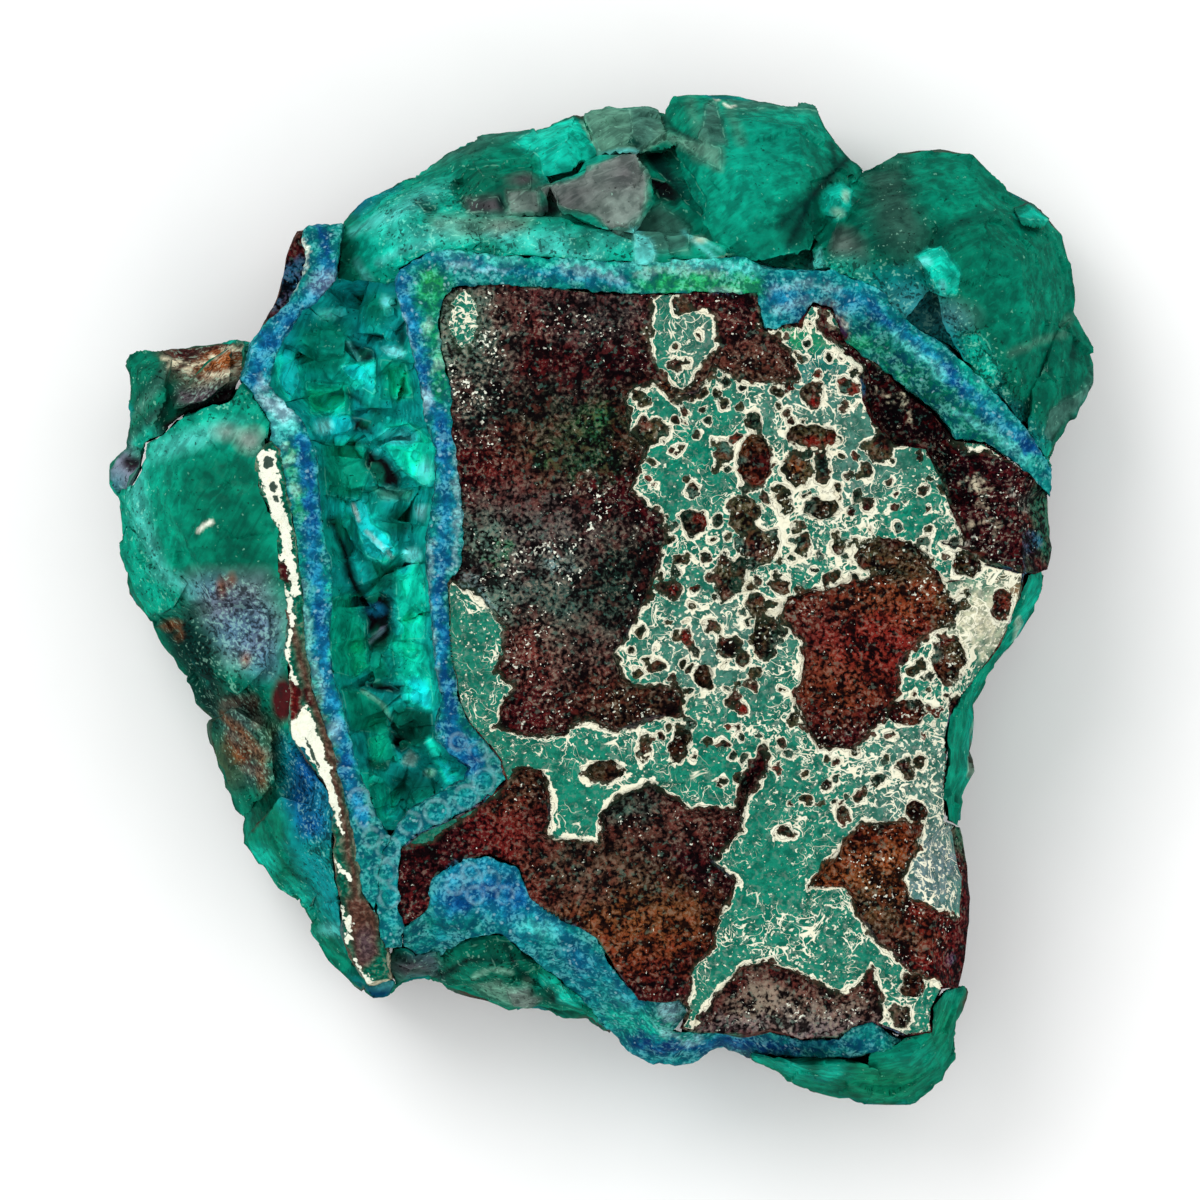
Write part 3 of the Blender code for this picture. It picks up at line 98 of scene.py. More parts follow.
def random_of(lattice, seed):
    """Repeatable random numbers from 0 to 1, one for each row of whole-number lattice places."""
    mixed = np.full(len(lattice), (seed * SEED_STEP + SEED_START) & WHOLE_WORD, np.uint32)
    for column, prime in zip(lattice.T, PRIMES):
        mixed = mixed ^ (column.astype(np.int64).astype(np.uint32) * np.uint32(prime))
        mixed = (mixed ^ (mixed >> np.uint32(15))) * np.uint32(MIXERS[0])
        mixed = (mixed ^ (mixed >> np.uint32(13))) * np.uint32(MIXERS[1])
    mixed = mixed ^ (mixed >> np.uint32(16))
    return mixed.astype(np.float64) / 2.0 ** 32


def waves(points, size, seed):
    """Smooth noise from -1 to 1 with lumps of the size given."""
    scaled = points / size
    low = np.floor(scaled)
    share = scaled - low
    share = share * share * (3.0 - 2.0 * share)
    total = np.zeros(len(points))
    for corner in itertools.product((0, 1), repeat=points.shape[1]):
        weight = np.prod(np.where(corner, share, 1.0 - share), axis=1)
        total += weight * random_of(low + corner, seed)
    return 2.0 * total - 1.0


def rough(points, size, seed):
    """Noise with finer and finer lumps, from about -1 to 1."""
    total = np.zeros(len(points))
    for layer in range(LAYERS):
        total += waves(points, size * FINER ** layer, seed + 17 * layer) * WEAKER ** layer
    return total / LAYER_SUM


def cells(points, size, seed):
    """Distance to the nearest cell middle, in cell sizes, with that cell's lattice place and its middle."""
    scaled = points / size
    low = np.floor(scaled)
    nearest = np.full(len(points), NO_EDGE)
    owner = np.zeros_like(points)
    middle = np.zeros_like(points)
    for corner in itertools.product((-1, 0, 1), repeat=points.shape[1]):
        lattice = low + corner
        shift = [random_of(lattice, seed + 101 * axis) for axis in range(points.shape[1])]
        place = lattice + 0.5 + JITTER * (np.stack(shift, axis=1) - 0.5)
        distance = np.linalg.norm(scaled - place, axis=1)
        closer = distance < nearest
        nearest = np.where(closer, distance, nearest)
        owner[closer] = lattice[closer]
        middle[closer] = place[closer] * size
    return nearest, owner, middle


def smooth(value, low, high):
    """0 below the low value and 1 above the high one, with an easy slope between."""
    share = np.clip((value - low) / (high - low), 0.0, 1.0)
    return share * share * (3.0 - 2.0 * share)


# ---- Shapes on the survey plan ----

# How far round an outline and a line the exact distance is worked out, in millimetres.
AREA_REACH = 3.0
STREAK_REACH = 2.0


def surveyed(points):
    """Survey places as millimetres in the specimen's frame."""
    return [((x - SURVEY_MIDDLE) * UNIT, (SURVEY_MIDDLE - y) * UNIT) for x, y in points]


def near_box(where, corners, reach):
    """Marks the places that are within reach of the box round some corners."""
    low, high = np.min(corners, axis=0) - reach, np.max(corners, axis=0) + reach
    return np.all((where > low) & (where < high), axis=1)


def segment_distance(where, start, end):
    run = np.subtract(end, start)
    share = np.clip((where - start) @ run / (run @ run), 0.0, 1.0)
    return np.linalg.norm(where - start - share[:, None] * run, axis=1)


def area(*points):
    """Shape: signed distance to an outline, negative inside it."""
    outline = surveyed(points)

    def distance(where):
        nearest = np.full(len(where), FAR)
        inside = np.zeros(len(where), bool)
        close = near_box(where, outline, AREA_REACH)
        spots = where[close]
        near, within = np.full(len(spots), FAR), np.zeros(len(spots), bool)
        for (ax, ay), (bx, by) in zip(outline, outline[1:] + outline[:1]):
            near = np.minimum(near, segment_distance(spots, (ax, ay), (bx, by)))
            if ay != by:
                crosses = (ay > spots[:, 1]) != (by > spots[:, 1])
                within ^= crosses & (spots[:, 0] < ax + (spots[:, 1] - ay) / (by - ay) * (bx - ax))
        nearest[close], inside[close] = near, within
        return np.where(inside, -nearest, nearest)
    distance.outlined = True
    return distance


def spot(x, y, across, along, turn=0.0):
    """Shape: an ellipse with its two radii in survey units, turned anticlockwise by degrees."""
    (middle,) = surveyed([(x, y)])
    cos, sin = math.cos(math.radians(turn)), math.sin(math.radians(turn))

    def distance(where):
        step = where - middle
        right = (step[:, 0] * cos + step[:, 1] * sin) / (across * UNIT)
        up = (step[:, 1] * cos - step[:, 0] * sin) / (along * UNIT)
        return (np.hypot(right, up) - 1.0) * min(across, along) * UNIT
    return distance


def streak(width, *points):
    """Shape: a line of the width given, in survey units."""
    line = surveyed(points)

    def distance(where):
        near = np.full(len(where), FAR)
        close = near_box(where, line, STREAK_REACH)
        for start, end in zip(line, line[1:]):
            near[close] = np.minimum(near[close], segment_distance(where[close], start, end))
        return near - 0.5 * width * UNIT
    return distance


def nearest_of(shapes, where):
    """Signed distance to the nearest of some shapes."""
    return np.min([shape(where) for shape in shapes], axis=0)


def linear(code):
    """Linear colour of an sRGB hex code."""
    levels = np.array([int(code[index:index + 2], 16) for index in (0, 2, 4)]) / 255.0
    return np.where(levels <= 0.04045, levels / 12.92, ((levels + 0.055) / 1.055) ** 2.4)


PAINTS = {name: linear(code) for name, code in COLOURS.items()}


def paint(layer, where, jobs):
    """Lays patches over a layer of colours or of single values, one after another.

    A job is a colour name or value, its strength, the softness of its edge in millimetres, and its shapes.
    """
    for colour, strength, soft, *shapes in jobs:
        value = PAINTS[colour] if isinstance(colour, str) else colour
        for shape in shapes:
            share = strength * np.clip(0.5 - shape(where) / (2.0 * soft), 0.0, 1.0)
            if layer.ndim == 2:
                layer += share[:, None] * (value - layer)
            else:
                layer += share * (value - layer)
    return layer


def flood(count, colour):
    return np.tile(PAINTS[colour], (count, 1))


def blend(layer, share, colours):
    """Moves a layer of colours towards others, by a share for each point."""
    layer += share[:, None] * (colours - layer)


def clouds(layer, points, jobs):
    """Lays soft clouds over a layer of colours.

    A job is the clouds' size and seed, the noise levels where they start and end, their strength and colour.
    """
    for size, seed, low, high, strength, colour in jobs:
        blend(layer, smooth(waves(points, size, seed), low, high) * strength, PAINTS[colour])
    return layer


def bend(where, bends, seed=0):
    """Plan places moved a little by noise, so that a drawn edge turns ragged.

    Each bend is how far it moves them, the size of its lumps and the shift of its seed.
    """
    for amount, size, shift in bends:
        push = [rough(where, size, seed + shift + axis) for axis in (0, 50)]
        where = where + amount * np.stack(push, axis=1)
    return where


# ---- Surfaces ----

CLOSE_REACH = 0.75
CLOSE_SHARE = 0.55
# Sideways and downward faces, with a normal that rises less than this, are cut coarsely.
LEAST_RISE = 0.15
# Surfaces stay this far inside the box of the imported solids.
BOX_MARGIN = 0.005
TINY = 1e-12
# Faces that meet at more than a piece's crease angle, in degrees, meet in a sharp edge.
NO_CREASE = 180
LOW_CORNER = np.array(cad_box[0]) / MM
HIGH_CORNER = np.array(cad_box[1]) / MM


def node_surface(name):
    """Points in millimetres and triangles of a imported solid, with doubled points joined."""
    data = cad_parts[name].data
    data.calc_loop_triangles()
    points = np.empty(len(data.vertices) * 3, np.float32)
    data.vertices.foreach_get("co", points)
    faces = np.empty(len(data.loop_triangles) * 3, np.int32)
    data.loop_triangles.foreach_get("vertices", faces)
    points = np.round(points.reshape(-1, 3).astype(np.float64) / MM, 4)
    places, index = np.unique(points, axis=0, return_inverse=True)
    faces = index.reshape(-1)[faces.reshape(-1, 3)]
    whole = (faces[:, 0] != faces[:, 1]) & (faces[:, 1] != faces[:, 2]) & (faces[:, 2] != faces[:, 0])
    return places, faces[whole]


CAD = {name: node_surface(name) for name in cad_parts}


def closed_up(name):
    """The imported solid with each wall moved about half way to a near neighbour, so that no gap shows."""
    points, faces = CAD[name]
    others = [(places, triangles) for other, (places, triangles) in CAD.items() if other != name]
    starts = np.cumsum([0] + [len(places) for places, _ in others])
    every = np.vstack([places for places, _ in others])
    triangles = np.vstack([part + start for (_, part), start in zip(others, starts)])
    tree = BVHTree.FromPolygons(every.tolist(), triangles.tolist())
    moved = points.copy()
    for index, place in enumerate(points):
        near, _, _, _ = tree.find_nearest(Vector(place), CLOSE_REACH)
        if near is not None:
            moved[index] += CLOSE_SHARE * (np.array(near) - place)
    return moved, faces


def split(points, faces, middle):
    """Triangles with their marked edges cut in two. middle holds each edge's new point, or -1."""
    marked = middle >= 0
    count = marked.sum(axis=1)
    rows = np.arange(len(faces))
    whole = faces[count == 0]

    def turned(first):
        order = (first[:, None] + np.arange(3)) % 3
        return faces[rows[:, None], order], middle[rows[:, None], order]

    corners, cuts = turned(np.argmax(marked, axis=1))
    one = count == 1
    (a, b, c), m = corners[one].T, cuts[one, 0]
    single = [np.stack((a, m, c), axis=1), np.stack((m, b, c), axis=1)]
    corners, cuts = turned((np.argmin(marked, axis=1) + 1) % 3)
    two = count == 2
    (a, b, c), (m, n, _) = corners[two].T, cuts[two].T
    short = np.linalg.norm(points[a] - points[n], axis=1) < np.linalg.norm(points[m] - points[c], axis=1)
    double = [
        np.stack((m, b, n), axis=1),
        np.stack((a, m, np.where(short, n, c)), axis=1),
        np.stack((np.where(short, a, m), n, c), axis=1),
    ]
    (a, b, c), (m, n, o) = faces[count == 3].T, middle[count == 3].T
    triple = [np.stack(trio, axis=1) for trio in ((a, m, o), (m, b, n), (o, n, c), (m, n, o))]
    return np.concatenate([whole, *single, *double, *triple])


def refine(points, faces, fine, coarse):
    """Cuts edges until none is longer than fine(its middle), or than coarse where nothing faces upwards."""
    while True:
        ends = np.sort(faces[:, [[0, 1], [1, 2], [2, 0]]].reshape(-1, 2), axis=1)
        keys, index = np.unique(ends[:, 0] * len(points) + ends[:, 1], return_inverse=True)
        first, last = points[keys // len(points)], points[keys % len(points)]
        halfway = 0.5 * (first + last)
        a, b, c = (points[faces[:, corner]] for corner in range(3))
        cross = np.cross(b - a, c - a)
        rise = cross[:, 2] / np.maximum(np.linalg.norm(cross, axis=1), TINY)
        upward = np.bincount(index.ravel(), np.repeat(rise > LEAST_RISE, 3), len(keys)) > 0
        most = np.where(upward, fine(halfway), np.maximum(fine(halfway), coarse))
        long = np.linalg.norm(last - first, axis=1) > most
        if not long.any():
            return points, faces
        number = np.full(len(keys), -1)
        number[long] = len(points) + np.arange(long.sum())
        points = np.vstack([points, halfway[long]])
        faces = split(points, faces, number[index].reshape(-1, 3))


def normals_of(points, faces):
    corners = points[faces]
    face_normals = np.cross(corners[:, 1] - corners[:, 0], corners[:, 2] - corners[:, 0])
    total = np.zeros_like(points)
    for corner in range(3):
        for axis in range(3):
            total[:, axis] += np.bincount(faces[:, corner], face_normals[:, axis], len(points))
    length = np.linalg.norm(total, axis=1)
    return total / np.maximum(length, TINY)[:, None]


def surface_of(node, level, fine, low_fine, coarse):
    """A closed-up solid cut finely above a level and less finely below it, with its normals."""
    def longest(places):
        return np.where(places[:, 2] > level, fine, low_fine)

    points, faces = refine(*closed_up(node), longest, coarse)
    return points, faces, normals_of(points, faces)


def pushed(points, normals, lift):
    """Points moved along their normals, and kept above the surface that the specimen lies on."""
    points = points + normals * lift[:, None]
    points[:, 2] = np.maximum(points[:, 2], 0.0)
    return points


def make_piece(node, surface, values, colours, material, crease=NO_CREASE):
    """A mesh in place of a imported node, with its numbers and colours kept on its points."""
    points, faces = surface
    inside = np.clip(points, LOW_CORNER + BOX_MARGIN, HIGH_CORNER - BOX_MARGIN)
    data = bpy.data.meshes.new(node + "_look")
    data.from_pydata((inside * MM).tolist(), [], faces.tolist())
    data.shade_smooth()
    if crease < NO_CREASE:
        data.set_sharp_from_angle(angle=math.radians(crease))
    for name, numbers in values.items():
        layer = data.attributes.new(name, "FLOAT", "POINT")
        layer.data.foreach_set("value", numbers.astype(np.float32))
    for name, layer_colours in colours.items():
        layer = data.attributes.new(name, "FLOAT_COLOR", "POINT")
        opaque = np.hstack([layer_colours, np.ones((len(layer_colours), 1))])
        layer.data.foreach_set("color", opaque.astype(np.float32).ravel())
    data.materials.append(material)
    piece = bpy.data.objects.new(node + "_look", data)
    bpy.context.scene.collection.objects.link(piece)
    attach(piece, "root")
    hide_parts(node)


# ---- Materials ----

# How far, and over what size, the wavering places of a material are moved, in millimetres.
WAVER = 0.35
WAVER_SIZE = 0.5
# How much longer than wide the streaks in a crystal are.
STREAK_LENGTH = 8.0


class Shader:
    """Builds a material's nodes around one Principled BSDF. Sizes and depths are in millimetres."""

    def __init__(self, name):
        self.material = bpy.data.materials.new(name)
        self.material.use_nodes = True
        self.tree = self.material.node_tree
        self.surface = self.tree.nodes["Principled BSDF"]
        self.place = self.node("ShaderNodeTexCoord").outputs["Object"]
        self.wavering = self.bent(WAVER, WAVER_SIZE)

    def node(self, kind, settings=(), **inputs):
        node = self.tree.nodes.new(kind)
        for name, value in dict(settings).items():
            setattr(node, name, value)
        for name, value in inputs.items():
            self.put(node.inputs[name], value)
        return node

    def put(self, socket, value):
        if isinstance(value, bpy.types.NodeSocket):
            self.tree.links.new(value, socket)
        elif isinstance(value, str):
            socket.default_value = (*PAINTS[value], 1.0)
        else:
            socket.default_value = value

    def math(self, operation, *values):
        node = self.node("ShaderNodeMath", {"operation": operation})
        for socket, value in zip(node.inputs, values):
            self.put(socket, value)
        return node.outputs[0]

    def times(self, first, second):
        return self.math("MULTIPLY", first, second)

    def times_plus(self, value, factor, added):
        return self.math("MULTIPLY_ADD", value, factor, added)

    def minus(self, first, second):
        return self.math("SUBTRACT", first, second)

    def value(self, name):
        return self.node("ShaderNodeAttribute", {"attribute_name": name}).outputs["Fac"]

    def colour(self, name):
        return self.node("ShaderNodeAttribute", {"attribute_name": name}).outputs["Color"]

    def step(self, value, low, high):
        """0 below the low value and 1 above the high one."""
        node = self.node("ShaderNodeMapRange", {"interpolation_type": "SMOOTHSTEP"})
        for socket, number in zip(node.inputs, (value, low, high, 0.0, 1.0)):
            self.put(socket, number)
        return node.outputs[0]

    def drop(self, value, low, high):
        """1 below the low value and 0 above the high one."""
        return self.minus(1.0, self.step(value, low, high))

    def line(self, distance, width, soft):
        """1 within the width of a line, and 0 everywhere that the width is 0."""
        return self.step(self.minus(width, distance), 0.0, soft)

    def beside(self, distance, middle):
        """Distance from the line that runs at a distance from an edge."""
        return self.math("ABSOLUTE", self.minus(distance, middle))

    def vein(self, size, distortion):
        """Distance from thin wavering veins: 0 on them, growing with the noise between them."""
        return self.beside(self.noise(size, 2.0, distortion=distortion), 0.5)

    def mix(self, share, first, second, blend="MIX"):
        node = self.node("ShaderNodeMix", {"data_type": "RGBA", "blend_type": blend})
        for socket, value in zip((node.inputs[0], node.inputs[6], node.inputs[7]), (share, first, second)):
            self.put(socket, value)
        return node.outputs[2]

    def lay(self, base, share, strength, colour):
        """A colour laid over the base with a strength, where the share is 1."""
        return self.mix(self.times(share, strength), base, colour)

    def glow(self, share, tint):
        """A tint made brighter by a share of itself."""
        return self.mix(share, tint, tint, blend="ADD")

    def streaked(self, turn):
        """Places squeezed so that a pattern runs along a direction in the plan, in degrees."""
        mapping = self.node("ShaderNodeMapping", {"vector_type": "TEXTURE"}, Vector=self.place)
        mapping.inputs["Rotation"].default_value = (0.0, 0.0, math.radians(turn))
        mapping.inputs["Scale"].default_value = (STREAK_LENGTH, 1.0, 1.0)
        return mapping.outputs[0]

    def noise(self, size, detail=3.0, vector=None, distortion=0.0, output="Fac"):
        """Noise around 0.5 with lumps of the size given."""
        fixed = {"Scale": 1.0 / (size * MM), "Detail": detail, "Distortion": distortion}
        return self.node("ShaderNodeTexNoise", Vector=vector or self.place, **fixed).outputs[output]

    def waver(self, size, detail=2.0):
        """Noise with lumps of the size given and wavering edges."""
        return self.noise(size, detail, self.wavering)

    def cell(self, size):
        """Distance to the nearest of scattered cell middles, in cell sizes, with wavering edges."""
        node = self.node("ShaderNodeTexVoronoi", Vector=self.wavering, Scale=1.0 / (size * MM))
        return node.outputs["Distance"]

    def bent(self, amount, size):
        """Places moved by noise, for patterns with wavering lines."""
        wobble = self.noise(size, 2.0, output="Color")
        shift = self.node("ShaderNodeVectorMath", {"operation": "MULTIPLY_ADD"})
        for socket, value in zip(shift.inputs, (wobble, (amount * MM,) * 3, self.place)):
            self.put(socket, value)
        return shift.outputs[0]

    def bump(self, height, depth):
        """Bump whose height runs over the depth given."""
        return self.node("ShaderNodeBump", Height=height, Strength=1.0, Distance=depth * MM).outputs[0]

    def finish(self, colour, roughness, normal, **fixed):
        self.put(self.surface.inputs["Base Color"], colour)
        self.put(self.surface.inputs["Roughness"], roughness)
        self.put(self.surface.inputs["Normal"], normal)
        for name, value in fixed.items():
            self.surface.inputs[name.replace("_", " ")].default_value = value
        return self.material


# ---- Host rock: brecciated face with brown hollows in a green skin, and white lace between them ----

MAIN_HOLLOW = [
    (440, 280), (770, 280), (762, 330), (790, 350), (800, 380), (760, 385), (715, 370), (700, 395),
    (672, 400), (650, 385), (630, 395), (632, 430), (650, 445), (640, 470), (632, 492), (665, 515),
    (668, 540), (655, 580), (645, 605), (618, 655), (625, 680), (685, 690), (685, 720), (650, 720),
    (620, 735), (585, 720), (560, 735), (520, 738), (495, 730), (500, 700), (515, 688), (495, 670),
    (505, 630), (480, 600), (440, 573), (440, 400), (427, 333),
]
RED_HOLLOW = [
    (785, 595), (830, 585), (870, 575), (920, 560), (950, 580), (950, 625), (925, 640), (905, 660),
    (900, 690), (880, 730), (850, 750), (815, 750), (790, 700), (800, 670), (800, 640), (775, 620),
]
LOWER_HOLLOW = [
    (380, 850), (440, 835), (490, 800), (520, 765), (545, 770), (552, 800), (550, 835), (600, 840),
    (600, 810), (625, 790), (650, 780), (690, 805), (735, 805), (740, 780), (765, 740), (770, 770),
    (750, 800), (745, 835), (715, 858), (740, 880), (725, 910), (715, 945), (698, 970), (690, 1000),
    (680, 1013), (600, 1000), (500, 940), (380, 940),
]
RUST_HOLLOW = [
    (805, 890), (850, 830), (860, 820), (925, 820), (920, 850), (905, 880), (915, 900), (965, 920),
    (980, 980), (935, 985), (905, 965), (875, 945), (860, 920), (845, 890),
]
FOOT_HOLLOW = [
    (690, 1035), (720, 985), (745, 962), (770, 960), (810, 975), (840, 995), (870, 965), (885, 990),
    (885, 1020), (860, 1040), (800, 1050), (740, 1050),
]
DARK_CLEFT = [
    (812, 295), (850, 340), (880, 365), (940, 410), (955, 440), (1060, 480), (1060, 570), (1000, 570),
    (965, 550), (950, 510), (940, 480), (925, 450), (895, 445), (870, 420), (862, 400), (860, 370),
    (835, 350), (820, 330),
]
HOLLOWS = [area(*outline) for outline in (
    MAIN_HOLLOW, RED_HOLLOW, LOWER_HOLLOW, RUST_HOLLOW, FOOT_HOLLOW, DARK_CLEFT,
)]
# Patches of green skin left standing inside the hollows.
ISLANDS = [
    area((655, 300), (672, 285), (690, 310), (712, 318), (716, 345), (700, 365), (684, 388), (662, 372),
         (652, 345)),
    spot(640, 405, 12, 18),
    spot(463, 318, 14, 26),
    area((556, 738), (600, 742), (602, 792), (596, 832), (560, 832), (552, 790)),
]
# Brown cells in the skin: middle and radii.
CELLS = [
    spot(680, 308, 10, 11), spot(754, 422, 10, 10), spot(725, 450, 12, 14), spot(755, 462, 16, 28),
    spot(694, 487, 8, 8), spot(694, 522, 13, 15), spot(742, 572, 8, 17), spot(725, 580, 15, 22),
    spot(757, 605, 12, 12), spot(765, 636, 13, 24), spot(730, 645, 14, 12), spot(812, 436, 28, 14),
    spot(798, 470, 15, 18), spot(822, 466, 9, 24), spot(880, 445, 14, 16), spot(870, 505, 7, 7),
    spot(820, 510, 20, 10), spot(760, 545, 22, 20), spot(893, 560, 42, 20, -12), spot(968, 565, 14, 14),
    spot(950, 660, 18, 24), spot(943, 612, 12, 18), spot(905, 712, 22, 14), spot(1003, 605, 12, 18),
    spot(680, 745, 9, 20, -20), spot(645, 748, 7, 15), spot(705, 675, 10, 13), spot(605, 770, 22, 10),
    spot(905, 768, 10, 10), spot(921, 762, 7, 9), spot(918, 812, 11, 11), spot(912, 985, 13, 13),
    spot(900, 1018, 12, 12), spot(785, 835, 10, 7), spot(652, 432, 17, 13), spot(745, 515, 16, 22),
    spot(782, 500, 9, 14), spot(712, 625, 9, 7), spot(812, 392, 11, 9), spot(847, 388, 9, 8),
    spot(865, 470, 8, 10), spot(840, 547, 10, 9), spot(800, 545, 8, 14), spot(672, 590, 8, 12),
    spot(688, 640, 7, 10), spot(955, 705, 9, 11), spot(880, 780, 8, 8), spot(862, 795, 7, 9),
    spot(842, 815, 7, 11), spot(935, 930, 9, 12), spot(655, 665, 10, 8), spot(735, 700, 7, 9),
    spot(780, 585, 9, 10), spot(745, 660, 8, 8), spot(948, 610, 10, 20), spot(1005, 545, 16, 9),
    spot(620, 800, 8, 8), spot(590, 590, 9, 9),
]
# Where the skin is full of small brown cells besides, the colours of these, and their size.
MOTTLED = spot(780, 560, 190, 250, 10)
CELL_COLOURS = ("olive", "olive", "deep", "maroon", "brown", "olive", "red", "grey_green")
CELL_SPACING = 1.0
CELL_WIDTH = 0.18
CELL_WIDTH_RANGE = 0.22
CELL_SHARE = 0.48
CELL_SHARE_FROST = 0.3
CELL_SHRINK = 1.15
CELL_TINT = 0.85
# How the edges of the hollows, and those of the painted colours, wander.
RAGGED = [(0.22, 1.1, 5), (0.1, 0.4, 8)]
SCATTERED = [(0.5, 1.6, 12), (0.8, 0.42, 16)]

# Colours of the bare brown rock, laid over maroon brown.
ROCK_PAINTS = [
    ("plum", 0.85, 1.0, spot(485, 420, 42, 26), spot(610, 450, 42, 44), spot(655, 518, 15, 18),
         spot(520, 600, 30, 14)),
    ("plum", 0.7, 0.6, spot(470, 480, 20, 40), spot(600, 300, 24, 30), spot(560, 590, 40, 16)),
    ("plum", 0.6, 1.4, spot(510, 582, 14, 16), spot(600, 370, 60, 40), spot(635, 600, 22, 55)),
    ("taupe", 0.3, 1.6, spot(585, 318, 34, 14), spot(575, 532, 24, 14), spot(520, 545, 60, 60)),
    ("grey_green", 0.5, 1.6, spot(478, 350, 28, 60), spot(490, 540, 20, 24), spot(560, 620, 60, 50)),
    ("deep", 0.75, 1.2, spot(556, 456, 34, 22), spot(622, 575, 22, 34), spot(560, 400, 30, 14)),
    ("olive", 0.6, 1.4, spot(575, 425, 40, 12), spot(548, 466, 26, 14), spot(640, 700, 44, 18)),
    ("leaf", 0.75, 0.35, spot(610, 422, 9, 8), spot(548, 460, 9, 6), spot(503, 545, 7, 5),
         spot(490, 565, 5, 5)),
    ("leaf", 0.35, 0.8, spot(590, 425, 20, 14), spot(600, 462, 16, 9), spot(665, 332, 9, 7)),
    ("mint", 0.3, 0.8, spot(465, 318, 20, 30), spot(440, 345, 12, 26), spot(484, 538, 12, 16)),
    ("mint", 0.35, 0.5, spot(486, 612, 22, 28), spot(557, 563, 10, 5)),
    ("pale_blue", 0.6, 0.3, spot(557, 563, 9, 4), spot(478, 600, 5, 16)),
    ("red", 0.45, 0.8, streak(10, (505, 310), (530, 325), (545, 350)), spot(530, 640, 20, 30)),
    ("red", 0.35, 1.4, spot(500, 470, 40, 30), spot(560, 650, 40, 24)),
    ("plum", 0.7, 0.9, spot(735, 302, 28, 12), spot(660, 560, 14, 30)),
    ("olive", 0.55, 1.2, spot(700, 410, 60, 24), spot(750, 372, 44, 16), spot(652, 432, 18, 14)),
    ("brown", 0.65, 1.2, spot(690, 405, 16, 18), spot(735, 350, 26, 30), spot(785, 365, 24, 14)),
    ("black", 0.25, 1.4, area((440, 290), (640, 290), (640, 640), (500, 640), (440, 560))),
    # Red hollow.
    ("red", 0.8, 1.6, spot(860, 645, 70, 55), spot(870, 645, 34, 24)),
    ("rust", 0.55, 1.4, spot(835, 690, 40, 30), spot(905, 600, 30, 16), spot(850, 600, 40, 16)),
    ("brown", 0.4, 1.2, spot(850, 640, 60, 50)),
    ("red", 0.5, 0.8, spot(868, 640, 34, 26)),
    ("maroon", 0.6, 1.2, spot(815, 720, 22, 30), spot(872, 725, 14, 20), spot(820, 620, 28, 16)),
    # Lower hollow.
    ("plum", 0.6, 1.4, spot(450, 850, 50, 16), spot(640, 860, 50, 40), spot(700, 880, 30, 30)),
    ("red", 0.5, 1.3, spot(510, 830, 30, 50), spot(640, 955, 60, 20), spot(540, 900, 14, 20)),
    ("olive", 0.7, 1.4, spot(592, 868, 50, 28), spot(640, 915, 60, 30), spot(520, 790, 16, 14)),
    ("brown", 0.75, 1.3, spot(620, 835, 60, 16), spot(590, 880, 40, 24), spot(672, 820, 40, 12)),
    ("rust", 0.5, 1.2, spot(665, 925, 50, 30), spot(600, 925, 30, 14), spot(605, 970, 40, 12)),
    ("grey_green", 0.65, 0.7, spot(625, 800, 26, 13)),
    ("grey_green", 0.8, 0.25, spot(576, 863, 6, 8)),
    ("plum", 0.6, 0.9, spot(670, 985, 40, 14), streak(16, (740, 850), (755, 800), (765, 750))),
    # Rusty hollow and the foot.
    ("red", 0.6, 1.2, spot(892, 838, 34, 16), spot(930, 940, 34, 40), spot(912, 890, 14, 12)),
    ("rust", 0.85, 1.2, spot(845, 875, 36, 24), spot(892, 860, 24, 34)),
    ("olive", 0.6, 1.2, spot(872, 905, 22, 28), spot(900, 935, 20, 16)),
    ("brown", 0.6, 1.4, spot(785, 985, 60, 20), spot(865, 1000, 16, 30)),
    ("beige", 0.75, 1.2, spot(800, 1022, 58, 18), spot(765, 1008, 24, 20)),
    ("lilac", 0.35, 1.0, spot(790, 1032, 50, 10)),
    # Cleft along the upper right edge, and the cells.
    ("plum", 0.95, 0.5, area(*DARK_CLEFT)),
    ("black", 0.9, 0.7, spot(936, 462, 20, 34), spot(882, 385, 12, 20), spot(905, 420, 22, 14)),
    ("maroon", 0.8, 1.0, spot(1005, 510, 46, 30), spot(833, 330, 12, 24), spot(1030, 545, 20, 20)),
    ("cream", 0.9, 0.2, area((884, 398), (890, 392), (904, 402), (908, 412), (899, 410))),
    ("cream", 0.9, 0.2, spot(980, 487, 10, 5, -30), spot(978, 525, 8, 5), spot(832, 322, 7, 4)),
    ("white", 0.9, 0.2, spot(1036, 505, 12, 4, -20), spot(955, 540, 5, 12)),
    ("red", 0.6, 0.4, spot(755, 470, 12, 18), spot(694, 487, 7, 7), spot(905, 712, 18, 10)),
    ("red", 0.85, 0.4, spot(1004, 612, 12, 22), spot(1012, 590, 9, 14)),
    ("rust", 0.7, 0.4, spot(668, 408, 10, 14), spot(742, 440, 10, 10), spot(798, 470, 10, 12)),
    ("cream", 0.9, 0.15, spot(662, 414, 5, 8), spot(668, 408, 4, 4)),
    ("olive", 0.7, 0.4, spot(812, 432, 28, 11), spot(725, 450, 11, 12), spot(765, 632, 13, 22)),
    ("deep", 0.8, 0.3, spot(754, 422, 8, 8), spot(694, 522, 11, 12), spot(694, 640, 6, 8)),
]
